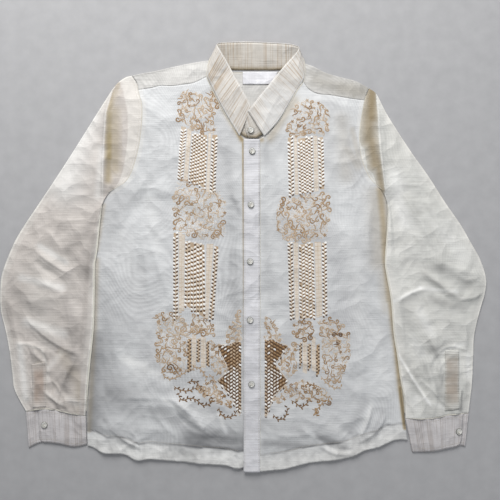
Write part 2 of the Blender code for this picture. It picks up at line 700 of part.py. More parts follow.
def build_cuff(side, name):
    """Flat cuff band: the outer lap lies over the under lap, both round the lower layer."""
    lap = CUFF[side]["lap"]
    under = CUFF[side]["under"]
    width = math.dist(CUFF_TOP[side].at(0.0), CUFF_TOP[side].at(1.0))
    e = EDGE_ROUND / width
    w = WALL / width
    mid = LAYER * 0.5 + WALL * 0.5
    top = LAYER + WALL
    path = [(lap, lap, 2 * LAYER + WALL, 2 * LAYER)]
    for f in ARM_STATIONS[3:-1]:
        if f > lap + 0.03:
            drop = step((f - 0.45) / 0.5) * LAYER
            path.append((f, f, 2 * LAYER + WALL - drop, 2 * LAYER - drop))
    path.append((1.0 - e, 1.0 - e - 0.5 * w, top, LAYER))
    path.append((1.0, 1.0 - w, mid, mid))
    path.append((1.0 - e, 1.0 - e - 0.5 * w, 0.0, WALL))
    for f in reversed(ARM_STATIONS[1:-1]):
        path.append((f, f, 0.0, WALL))
    path.append((e, e + 0.5 * w, 0.0, WALL))
    path.append((0.0, w, mid, mid))
    path.append((e, e + 0.5 * w, top, LAYER))
    for f in ARM_STATIONS[1:4]:
        path.append((f, f, top, LAYER))
    path.append((under, under, top, LAYER))
    outer = []
    inner = []
    for n, (fo, fi, zo, zi) in enumerate(path):
        col_o = []
        col_i = []
        for k, v in enumerate((0.0, 0.12, 0.5, 0.86, 1.0)):
            cut = 0.05 if n == 0 and k == 4 else 0.0
            for f, z, col in ((fo, zo, col_o), (fi, zi, col_i)):
                p = mix(CUFF_TOP[side].at(f + cut), CUFF_END[side].at(f + cut), v)
                col.append((p[0], p[1], z))
        outer.append(col_o)
        inner.append(col_i)
    wall(name, outer, inner, SLEEVE_CLOTH)


def build_sleeve_placket(side, name):
    """Narrow strip on the sleeve's upper layer above the cuff."""
    a, b, c, d = SLEEVE_PLACKET[side]
    grid = []
    for i in range(6):
        row = []
        for j in range(3):
            x, y = mix(mix(a, b, j / 2), mix(c, d, j / 2), i / 5)
            hit, where, normal, face = tops[side].ray_cast(Vector((x, y, 60.0)) * 0.001, Vector((0, 0, -1)))
            row.append((x, y, where[2] * 1000.0 + 0.6))
        grid.append(row)
    up = [[(x, y, z + WALL) for x, y, z in row] for row in grid]
    wall(name, up, grid, SLEEVE_CLOTH)


def collar_sections(count):
    """Collar table read as a smooth run of sections."""
    run = smooth_line(COLLAR, count)
    return run


def build_collar():
    rows = collar_sections(2)
    stand = []
    fall = []
    last = STAND_END
    for row in rows:
        nx, ny, nz, fx, fy, fz, ex, ey, ez, roll = row
        neck = Vector((nx, ny, nz))
        fold = Vector((fx, fy, fz))
        edge = Vector((ex, ey, ez))
        roll = min(1.0, max(0.0, roll))
        top = fold.copy()
        flat = Vector((neck.x - fold.x, neck.y - fold.y, 0.0))
        top += flat.normalized() * 3.0
        top.z = fold.z - 3.5
        bend = (neck + top) * 0.5 + Vector((0.0, 0.0, 0.3)) * (1.0 - roll)
        line = []
        for k in (0.0, 0.34, 0.67, 1.0):
            line.append(tuple(neck * (1 - k) ** 2 + bend * 2 * k * (1 - k) + top * k * k))
        stand.append(line)
        over = (fold + edge) * 0.5 + Vector((0.0, 0.0, 2.6))
        back = Vector((fold.x, fold.y + 6.0, 0.9))
        ctrl = over.lerp(back, roll)
        line = []
        for k in (0.0, 0.12, 0.3, 0.5, 0.75, 1.0):
            p = fold * (1 - k) ** 2 + ctrl * 2 * k * (1 - k) + edge * k * k
            p.z = max(p.z, 0.5 * WALL + 0.02)
            line.append(tuple(p))
        fall.append(line)
    nx, ny, nz, fx, fy, fz = last
    a = Vector((nx, ny, nz))
    b = Vector((fx, fy, fz))
    stand.append([tuple(a.lerp(b, k) + Vector((-2.0, 0.0, 0.0)) * math.sin(math.pi * k)) for k in (0.0, 0.34, 0.67, 1.0)])
    up, down = thicken(stand, STAND_WALL)
    wall("collar_stand", up, down, YOKE_CLOTH)
    up, down = thicken(fall, WALL)
    wall("collar_fall", up, down, YOKE_CLOTH)


def build_button(name, x, y, z):
    """Turned button with a raised rim and a dished face."""
    r = BUTTON_RADIUS
    h = BUTTON_THICK
    profile = ((0.0, h * 0.55), (r * 0.45, h * 0.58), (r * 0.62, h * 0.95), (r * 0.82, h), (r, h * 0.62), (r * 0.92, h * 0.15), (r * 0.7, 0.0), (0.0, 0.0))
    bm = bmesh.new()
    pts = [bm.verts.new((a * 0.001, 0.0, b * 0.001)) for a, b in profile]
    for a, b in zip(pts, pts[1:]):
        bm.edges.new((a, b))
    mesh = bpy.data.meshes.new(name)
    bm.to_mesh(mesh)
    bm.free()
    obj = bpy.data.objects.new(name, mesh)
    home.objects.link(obj)
    screw = obj.modifiers.new("turn", "SCREW")
    screw.axis = "Z"
    screw.angle = math.tau
    screw.steps = 14
    screw.render_steps = 14
    screw.use_merge_vertices = True
    screw.merge_threshold = 0.00001
    screw.use_normal_calculate = True
    obj.data.materials.append(cloth_material(name + "_material", PEARL, 0.25))
    obj.location = (x * 0.001, y * 0.001, z * 0.001)
    obj.parent = root
    return obj


def build_label():
    (x0, y1), (x1, y0) = LABEL
    bpy.ops.mesh.primitive_cube_add(size=1.0)
    obj = bpy.context.object
    obj.name = "label"
    obj.data.name = "label"
    for col in list(obj.users_collection):
        col.objects.unlink(obj)
    home.objects.link(obj)
    obj.scale = ((x1 - x0) * 0.001, (y1 - y0) * 0.001, LABEL_THICK * 0.001)
    obj.location = ((x0 + x1) * 0.0005, (y0 + y1) * 0.0005, (WALL + GAP + LABEL_THICK * 0.5) * 0.001)
    bpy.ops.object.transform_apply(location=False, rotation=False, scale=True)
    obj.data.materials.append(cloth_material("label_material", WHITE, 0.6))
    obj.parent = root


def top_of(obj, x, y):
    """Height of a piece's upper face under a point."""
    hit, where, normal, face = obj.ray_cast(Vector((x, y, 60.0)) * 0.001, Vector((0, 0, -1)))
    return where[2] * 1000.0 if hit else 0.0


for old in list(bpy.data.objects):
    bpy.data.objects.remove(old, do_unlink=True)
home = bpy.data.collections.new("barong_tagalog_shirt")
bpy.context.scene.collection.children.link(home)
root = bpy.data.objects.new("shirt_root", None)
home.objects.link(root)

build_back()
build_yoke()
front_over = build_front("l", "front_left")
build_front("r", "front_right")
build_placket(front_over)
build_sleeve("r", "sleeve_right")
build_sleeve("l", "sleeve_left")
bpy.context.view_layer.update()
tops = {"r": bpy.data.objects["sleeve_right"], "l": bpy.data.objects["sleeve_left"]}
build_sleeve_placket("r", "sleeve_placket_right")
build_sleeve_placket("l", "sleeve_placket_left")
build_cuff("r", "cuff_right")
build_cuff("l", "cuff_left")
build_collar()
build_label()
bpy.context.view_layer.update()
for name, (x, y), lift in BUTTONS:
    build_button(name, x, y, top_of(bpy.data.objects["front_placket"], x, y) + GAP + lift)
build_button("button_collar", *COLLAR_BUTTON, top_of(bpy.data.objects["collar_stand"], *COLLAR_BUTTON) + GAP + 0.5)
build_button("button_cuff_right", *CUFF_BUTTON["r"], top_of(bpy.data.objects["cuff_right"], *CUFF_BUTTON["r"]) + GAP)
build_button("button_cuff_left", *CUFF_BUTTON["l"], top_of(bpy.data.objects["cuff_left"], *CUFF_BUTTON["l"]) + GAP)
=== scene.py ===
# Long-sleeved barong tagalog shirt laid flat: cloth shells, embroidery, stitching and buttons.
import math
import bpy
import bmesh
import numpy as np
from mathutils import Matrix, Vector, noise


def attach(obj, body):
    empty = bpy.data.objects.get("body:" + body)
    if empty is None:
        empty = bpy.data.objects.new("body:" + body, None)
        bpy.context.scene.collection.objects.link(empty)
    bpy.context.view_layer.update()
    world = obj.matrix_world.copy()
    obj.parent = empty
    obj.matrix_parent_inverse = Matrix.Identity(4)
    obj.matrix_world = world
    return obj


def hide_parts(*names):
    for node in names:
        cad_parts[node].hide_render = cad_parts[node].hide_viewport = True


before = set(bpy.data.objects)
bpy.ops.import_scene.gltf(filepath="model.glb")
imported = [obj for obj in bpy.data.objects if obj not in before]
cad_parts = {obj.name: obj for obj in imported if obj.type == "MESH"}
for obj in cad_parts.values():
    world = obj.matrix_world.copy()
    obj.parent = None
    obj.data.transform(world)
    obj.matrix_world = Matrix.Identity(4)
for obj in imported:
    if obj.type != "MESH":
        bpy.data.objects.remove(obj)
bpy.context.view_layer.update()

# Sizes in mm; SCALE turns them into metres.
SCALE = 0.001
# Cloth: a shell's skin, a panel's wall, the gap to the panel above it, and both together.
SKIN = 0.5
WALL = 1.2
GAP = 0.3
LAYER = WALL + GAP
EDGE_ROUND = 1.0
LABEL_THICK = 0.8
# Hem: depth of the turn-up, depth of the doubled cloth that shows, and its extra height.
HEM_TURN = 36.0
HEM_SEEN = 29.0
HEM_EXTRA = 0.4
# How the upper layers rise off the lower ones, and how far the sleeves lie over the fronts.
SIDE_FLAT = 12.0
SIDE_RISE = 26.0
BASE_LIFT = 1.3
SLEEVE_OVER = 6.0
SLEEVE_RISE = 3.2
# Buttons, with their holes' distance from the middle, and the strip that they are on.
BUTTON_RADIUS = 6.0
BUTTON_THICK = 2.4
HOLE = 1.1
PLACKET_WIDTH = 30.0
# Heights are read from this far up, and on the right front up to this far before STRIP_LEFT.
CAST_FROM = 60.0
FRONTS_MEET = 17.0
FLOOR_HALF = 6000.0
# The camera's height in metres and the plan point below it in mm.
CAMERA_HEIGHT = 1.302
PICTURE_CENTRE = (12.2, 13.8)
# Limits of the point attributes: tone 1 is tan, more is painted deep shade; painted shading darkens above 0
# and is painted light below.
DEEPEST_TONE = 1.9
MOST_PAINTED_SHADING = 0.8

# The yoke's seams as shares of the armhole's length, from the shoulder down.
FRONT_YOKE = 0.115
BACK_YOKE = 0.558

# Outlines as x, y. "r" is the wearer's right side, which lies at low X.
ARMHOLE = {
    "r": ((-209.1, 340), (-199.7, 326.1), (-196.9, 313.4), (-193.5, 299.2), (-189.4, 282.4),
          (-190.9, 238.2), (-199.2, 192.2), (-210.4, 157.8), (-223.5, 139.1), (-242.2, 127.9),
          (-263.3, 116.1)),
    "l": ((235.1, 316.4), (226.5, 294.3), (220.8, 263.3), (216.7, 223.3), (220.1, 186.6), (231.9, 156),
          (244, 140.1), (265.7, 120.4)),
}
SLEEVE_OUTER = {
    "r": ((-209.1, 340), (-222.5, 336.4), (-240.3, 321.5), (-259.9, 292.5), (-325.2, 188.7),
          (-371.2, 118.6), (-416.1, 51.2), (-434.8, 15.7), (-450.1, -23.6), (-455, -49.7), (-455, -96.5),
          (-446, -135.8), (-438.1, -177.8), (-432.9, -219.9), (-428.2, -249.8), (-407.1, -289.1)),
    "l": ((235.1, 316.4), (248.7, 306.5), (260.9, 283.1), (275.1, 257.7), (311.9, 200.8), (346.3, 152.2),
          (378.7, 101.7), (406.7, 61.3), (425.4, 28.8), (443, -3), (454.4, -38.5), (452.4, -66.6),
          (442.3, -102.1), (432.5, -145.1), (430.5, -184.4), (428, -238.6), (421.7, -291.7)),
}
SLEEVE_INNER = {
    "r": ((-263.3, 116.1), (-266.5, 88.6), (-271, 51.2), (-274.9, 13.8), (-279.4, -16.1), (-279.9, -62.8),
          (-281.1, -120.8), (-284.4, -161.9), (-289.1, -205), (-292.8, -253.6), (-295.5, -296.6)),
    "l": ((265.7, 120.4), (269.8, 98), (270.2, 68.1), (268.7, 32.5), (266.1, -8.6), (270.2, -38.5),
          (277.7, -81.5), (282.4, -141.4), (288.9, -182.5), (294.5, -223.7), (301.3, -262.9),
          (302.8, -301.4)),
}
SHOULDER = {
    "r": ((-58.9, 369.5), (-94.6, 364.3), (-134.6, 356), (-166.1, 348.6), (-191.7, 344.1), (-209.1, 340)),
    "l": ((110.3, 364.5), (130.7, 357.5), (153.5, 345.9), (182.1, 337.3), (210.4, 329.9), (235.1, 316.4)),
}
YOKE_FRONT = {
    "r": ((-58.5, 340.2), (-71.6, 336.6), (-94.4, 326.1), (-131.8, 320.5), (-154.3, 321.3), (-174.8, 316.4),
          (-195, 314.2)),
    "l": ((110.1, 331.7), (120.6, 315.7), (137.4, 305.9), (164.9, 302.8), (199.2, 297), (226.1, 292.1)),
}
HEM = {
    "r": ((0.9, -393.1), (-14, -394.4), (-33.1, -389), (-70.1, -386.9), (-103.8, -383.2), (-143.1, -380),
          (-174.8, -377), (-200.5, -379.4), (-225.3, -368), (-261.8, -365.8), (-282.2, -355.3),
          (-292.1, -352.7)),
    "l": ((32.7, -399.4), (57, -397.6), (79.5, -394.9), (113.7, -385.8), (143.1, -381.9), (176, -378.3),
          (203.8, -371.9), (225.3, -361.7), (251.1, -354.9), (281.1, -342.2), (305.7, -341.5)),
}
# Where the side seams end at the hem.
SIDE_END = {"r": (-291.5, -352.7), "l": (306.5, -341.5)}
# Cuffs: upper and lower edge, and where the outer and under laps end as shares of the width.
CUFF = {
    "r": {"top": ((-407.1, -289.1), (-382.4, -283.3), (-354.4, -284.2), (-326.3, -290.2), (-295.5, -296.6)),
          "end": ((-402.1, -356.4), (-379, -346.3), (-348, -348), (-317.9, -354.6), (-293.2, -350.1)),
          "lap": 0.21, "under": 0.42},
    "l": {"top": ((421.7, -291.7), (408.6, -292.1), (382.4, -294.3), (348.8, -300.7), (302.8, -301.4)),
          "end": ((415, -354.6), (406.7, -351.9), (386.2, -356.4), (352.5, -363.2), (316, -364.7)),
          "lap": 0.09, "under": 0.36},
}
# The front strip: its top, and its edges on the wearer's right and left.
STRIP_TOP = 220.8
STRIP_RIGHT = 0.7
STRIP_LEFT = 30.7
NECK_FRONT = {
    "r": ((STRIP_RIGHT, STRIP_TOP), (-14, 239.2), (-32.7, 271.9), (-47.7, 302.8), (-58.2, 338.8)),
    "l": ((STRIP_LEFT, STRIP_TOP), (53.3, 239.2), (76.7, 270), (93.5, 298.1), (109.8, 330.2)),
}
NECK_BACK = ((-58.9, 369.5), (-54.2, 358.7), (-38.3, 350.1), (-6.5, 348.6), (25.2, 348.6), (68.3, 348.6),
             (94.4, 350.1), (106.8, 355.7), (110.3, 364.5))

# Folds as x0, y0, x1, y1, width, height; a negative height is a trough.
BODY_FOLDS = (
    (-131.8, -262.9, -70.1, -322.8, 9.0, 2.6),
    (-70.1, -341.5, -0.9, -348.9, 8.0, -1.0),
    (-249.6, -319, -191.7, -356.4, 9.0, 1.6),
    (236.6, -276, 219.7, -334, 9.0, 1.8),
    (264.6, -292.8, 216, -345.2, 8.0, 1.8),
    (143.1, -341.5, 199.2, -360.2, 9.0, -1.0),
    (-197.3, 66.2, -171.1, -79.7, 12.0, 1.8),
    (-171.1, 26.9, -137.4, -79.7, 12.0, 1.5),
    (-216, 66.2, -234.7, -98.4, 13.0, 1.6),
    (-182.3, 79.3, -133.7, 13.8, 11.0, 1.4),
    (191.7, 253.2, 202.9, 98, 13.0, 1.6),
    (176.7, 88.6, 202.9, -79.7, 14.0, 1.4),
    (229.1, 79.3, 221.6, -135.8, 13.0, 1.6),
    (-174.8, 275.6, -159.9, 126, 13.0, 1.5),
    (-234.7, -135.8, -216, -304.1, 14.0, 1.3),
)
SLEEVE_FOLDS = {
    "r": (
        (-245.9, 316.8, -257.5, 256.9, 8.0, 3.2),
        (-257.5, 256.9, -262.4, 126, 8.0, 3.4),
        (-234.7, 294.3, -236.6, 172.8, 9.0, -1.6),
        (-298.3, 219.5, -343.1, 98, 16.0, 1.8),
        (-388, 10.1, -328.2, -31, 9.0, 2.8),
        (-384.3, -10.5, -343.1, -42.3, 7.0, -1.6),
        (-341.3, -61, -309.5, -184.4, 10.0, 2.0),
        (-403, -117.1, -311.4, -180.6, 8.0, 2.6),
        (-417.9, -160.1, -363.7, -201.2, 7.0, 2.2),
        (-313.2, -186.3, -352.5, -259.2, 8.0, 1.8),
        (-374.9, -246.1, -335.7, -277.9, 7.0, 1.6),
    ),
    "l": (
        (250.6, 303.7, 252.3, 255.1, 8.0, 2.8),
        (252.3, 255.1, 263.9, 126, 8.0, 3.2),
        (292.7, 126, 352.5, 36.3, 13.0, 2.6),
        (352.5, 36.3, 360, 6.4, 10.0, 2.0),
        (391.8, -23.6, 447.9, -32.9, 8.0, 2.6),
        (335.7, -27.3, 404.9, -75.9, 9.0, 2.6),
        (404.9, -75.9, 449.7, -62.8, 8.0, 2.2),
        (292.7, -77.8, 335.7, -59.1, 9.0, 2.2),
        (354.4, -212.4, 378.7, -176.9, 8.0, -1.6),
        (290.8, -184.4, 346.9, -274.1, 9.0, 2.0),
        (389.9, -98.4, 408.6, -163.8, 10.0, 1.6),
    ),
}

# Collar sections from the right front to the left front of the wearer.
# neck x, y, z; fold line x, y, z; free edge x, y, z; roll 0 on top, 1 rolled under.
COLLAR = (
    (7.5, 223.7, 2.4, 15, 278.4, 7.2, -7.9, 225.9, 5.0, 0.0),
    (-6.5, 232.3, 2.4, 6.9, 295.3, 8.2, -20.4, 246.5, 5.2, 0.0),
    (-23.7, 258.4, 2.4, -4.3, 314.3, 9.4, -34.2, 268.9, 5.2, 0.0),
    (-39.1, 286.9, 2.4, -17.8, 338.3, 10.6, -49.2, 297.3, 5.2, 0.0),
    (-51.4, 316, 2.4, -30.1, 361.7, 11.6, -59.7, 318.6, 5.2, 0.0),
    (-57.4, 343, 2.3, -41.7, 381.5, 12.2, -67.9, 336.6, 5.0, 0.0),
    (-53.3, 360.9, 1.8, -48.8, 393.1, 12.4, -67.1, 353.1, 4.4, 0.1),
    (-46.9, 358.3, 1.2, -47.3, 397.4, 12.0, -61.5, 373.6, 2.6, 0.4),
    (-36.5, 353.1, 0.8, -38.3, 399.2, 11.4, -49.6, 375.5, 0.8, 0.9),
    (-19.6, 351.2, 0.7, -19.6, 400.2, 11.0, -25.2, 367.3, 0.8, 1.0),
    (4.7, 350.8, 0.7, 4.7, 400.9, 10.8, 4.7, 365.4, 0.8, 1.0),
    (30.9, 350.8, 0.7, 30.9, 400.2, 10.8, 30.9, 365.4, 0.8, 1.0),
    (57, 350.8, 0.7, 57, 398.7, 11.0, 58.9, 366.1, 0.8, 1.0),
    (81.3, 352.3, 0.7, 79.5, 397.2, 11.4, 87, 371.8, 0.8, 1.0),
    (93.7, 354.9, 0.9, 95.6, 394.4, 12.0, 102.7, 379.2, 0.9, 0.8),
    (102.3, 359, 1.6, 103.4, 389.7, 12.4, 112, 369.9, 3.0, 0.3),
    (105.7, 345.9, 2.2, 98.2, 379.2, 12.6, 114.3, 350.4, 4.6, 0.05),
    (104.5, 325.4, 2.3, 82.5, 361.7, 12.4, 111.3, 328.7, 5.2, 0.0),
    (89.9, 298.1, 2.4, 64.5, 341.1, 11.8, 99.7, 311.9, 5.4, 0.0),
    (73.5, 271.5, 2.6, 47.3, 319.8, 11.0, 84.3, 284.6, 5.8, 0.0),
    (52.2, 243.5, 3.2, 30.1, 298.8, 10.2, 65.3, 253.9, 6.2, 0.0),
    (24.5, 223.3, 3.9, 8.4, 271.5, 9.2, 39.5, 225.1, 6.6, 0.0),
)
# The stand's buttoned end: lower x, y, z and upper x, y, z.
STAND_END = (9.2, 224, 4.3, 2.8, 261.8, 6.0)

# Buttons: piece, CAD node, place, the piece under it, gap above that piece.
BUTTONS = (
    ("pearl_button_1", "button_1", (16.3, 198), "cloth_placket", 0.2),
    ("pearl_button_2", "button_2", (14, 98), "cloth_placket", 0.2),
    ("pearl_button_3", "button_3", (12.5, -7.7), "cloth_placket", 0.2),
    ("pearl_button_4", "button_4", (12.5, -117.1), "cloth_placket", 0.2),
    ("pearl_button_5", "button_5", (15.1, -236.7), "cloth_placket", 0.2),
    ("pearl_collar", "button_collar", (13.8, 237.1), "cloth_collar_stand", 0.3),
    ("pearl_cuff_right", "button_cuff_right", (-371.9, -313), "cloth_cuff_right", 0.2),
    ("pearl_cuff_left", "button_cuff_left", (402.6, -325.4), "cloth_cuff_left", 0.2),
)
# Half section of a button from its centre to its underside: share of radius, share of thickness.
BUTTON_PROFILE = (
    (0.0, 0.52), (0.3, 0.52), (0.48, 0.56), (0.56, 0.74), (0.64, 0.92), (0.74, 1.0), (0.84, 1.0),
    (0.93, 0.9), (0.99, 0.66), (1.0, 0.45), (0.95, 0.2), (0.8, 0.03), (0.5, 0.0),
)
# Label: upper left and lower right corner.
LABEL = ((-1.5, 347.4), (63.4, 323.9))
# Sleeve plackets: two upper and two lower corners.
SLEEVE_PLACKET = {
    "r": ((-395.5, -199.3), (-371.2, -195.6), (-392.7, -279.8), (-368.2, -279)),
    "l": ((403, -173.2), (376.8, -173.2), (403, -283.5), (375.7, -287.2)),
}

# Extra creases of the upper layer, finer than the solid's.
# x0, y0, x1, y1, x2, y2 of a bent crease, width, height, skew towards its right-hand side.
BODY_CREASES = (
    (-133.7, -264.8, -101.9, -287.2, -68.3, -324.6, 7.0, 2.6, 0.6),
    (-230.9, -262.9, -182.3, -262.9, -131.8, -266.7, 9.0, 1.3, -0.4),
    (-131.8, -264.8, -115, -304.1, -73.9, -322.8, 5.0, -1.0, 0.0),
    (-70.1, -337.7, -36.5, -341.5, -0.9, -347.1, 3.5, -1.2, 0.2),
    (-66.4, -348.9, -36.5, -354.6, -0.9, -354.6, 3.0, 0.9, 0.0),
    (-253.4, -313.4, -219.7, -341.5, -187.9, -356.4, 3.0, 1.6, 0.3),
    (-230.9, -363.9, -212.2, -348.9, -174.8, -334, 3.0, 1.1, 0.0),
    (-212.2, -322.8, -197.3, -343.3, -191.7, -371.4, 2.6, 1.0, 0.0),
    (238.4, -276, 232.8, -305.9, 217.9, -335.9, 4.0, 2.0, 0.5),
    (264.6, -292.8, 249.6, -322.8, 214.1, -347.1, 4.0, 2.0, 0.5),
    (139.3, -337.7, 165.5, -356.4, 202.9, -360.2, 3.4, -1.6, 0.0),
    (139.3, -345.2, 165.5, -363.9, 202.9, -367.6, 3.4, 1.3, 0.0),
    (-197.3, 73.7, -208.5, -8.6, -216, -98.4, 6.0, 1.0, 0.2),
    (-195.4, 73.7, -182.3, -8.6, -174.8, -98.4, 6.0, 1.0, -0.2),
    (-193.5, 73.7, -167.4, 10.1, -137.4, -83.4, 5.0, 1.3, 0.3),
    (-197.3, 73.7, -230.9, 21.3, -249.6, -64.7, 6.0, 0.9, 0.2),
    (-191.7, 77.4, -163.6, 47.5, -133.7, 25.1, 6.0, 0.9, 0.0),
    (-174.8, 163.4, -197.3, 126, -234.7, 84.9, 9.0, 1.4, 0.3),
    (-171.1, 141, -193.5, 101.7, -227.2, 62.5, 7.0, -1.0, 0.0),
    (-163.6, 294.3, -174.8, 238.2, -156.1, 182.1, 8.0, 0.9, 0.0),
    (202.9, 242, 184.2, 200.8, 161.8, 152.2, 7.0, 0.9, 0.0),
    (214.1, 200.8, 195.4, 200.8, 173, 200.8, 4.0, 0.6, 0.0),
    (216, 182.1, 195.4, 178.4, 169.2, 174.7, 4.0, 0.5, 0.0),
    (247.8, 114.8, 232.8, 51.2, 240.3, -23.6, 7.0, 1.2, 0.3),
    (221.6, 126, 202.9, 51.2, 199.2, -42.3, 9.0, 1.0, 0.0),
    (-260.9, -98.4, -238.4, -173.2, -245.9, -266.7, 9.0, 1.0, 0.2),
    (-275.8, -135.8, -260.9, -229.3, -268.3, -322.8, 6.0, -0.9, 0.0),
    (199.2, -117.1, 221.6, -191.9, 217.9, -266.7, 9.0, 1.0, 0.0),
    (-32.7, 219.5, -14, 107.3, -21.5, -4.9, 7.0, 0.8, 0.0),
    (-29, 114.8, -14, 107.3, -0.9, 101.7, 4.0, 0.9, 0.0),
    (-27.1, -4.9, -14, -12.3, -0.9, -23.6, 4.0, 0.9, 0.0),
    (-40.2, -79.7, -21.5, -135.8, -10.3, -173.2, 5.0, 0.9, 0.0),
    (38.3, 200.8, 60.8, 126, 49.6, 51.2, 7.0, 0.7, 0.0),
    (36.5, -23.6, 53.3, -79.7, 45.8, -135.8, 6.0, 0.8, 0.0),
    (-174.8, -266.7, -156.1, -304.1, -118.7, -341.5, 6.0, 0.9, 0.0),
    (38.3, -322.8, 87, -334, 128.1, -326.5, 5.0, 0.8, 0.0),
    (105.7, -304.1, 116.9, -326.5, 146.8, -341.5, 5.0, 0.8, 0.2),
)
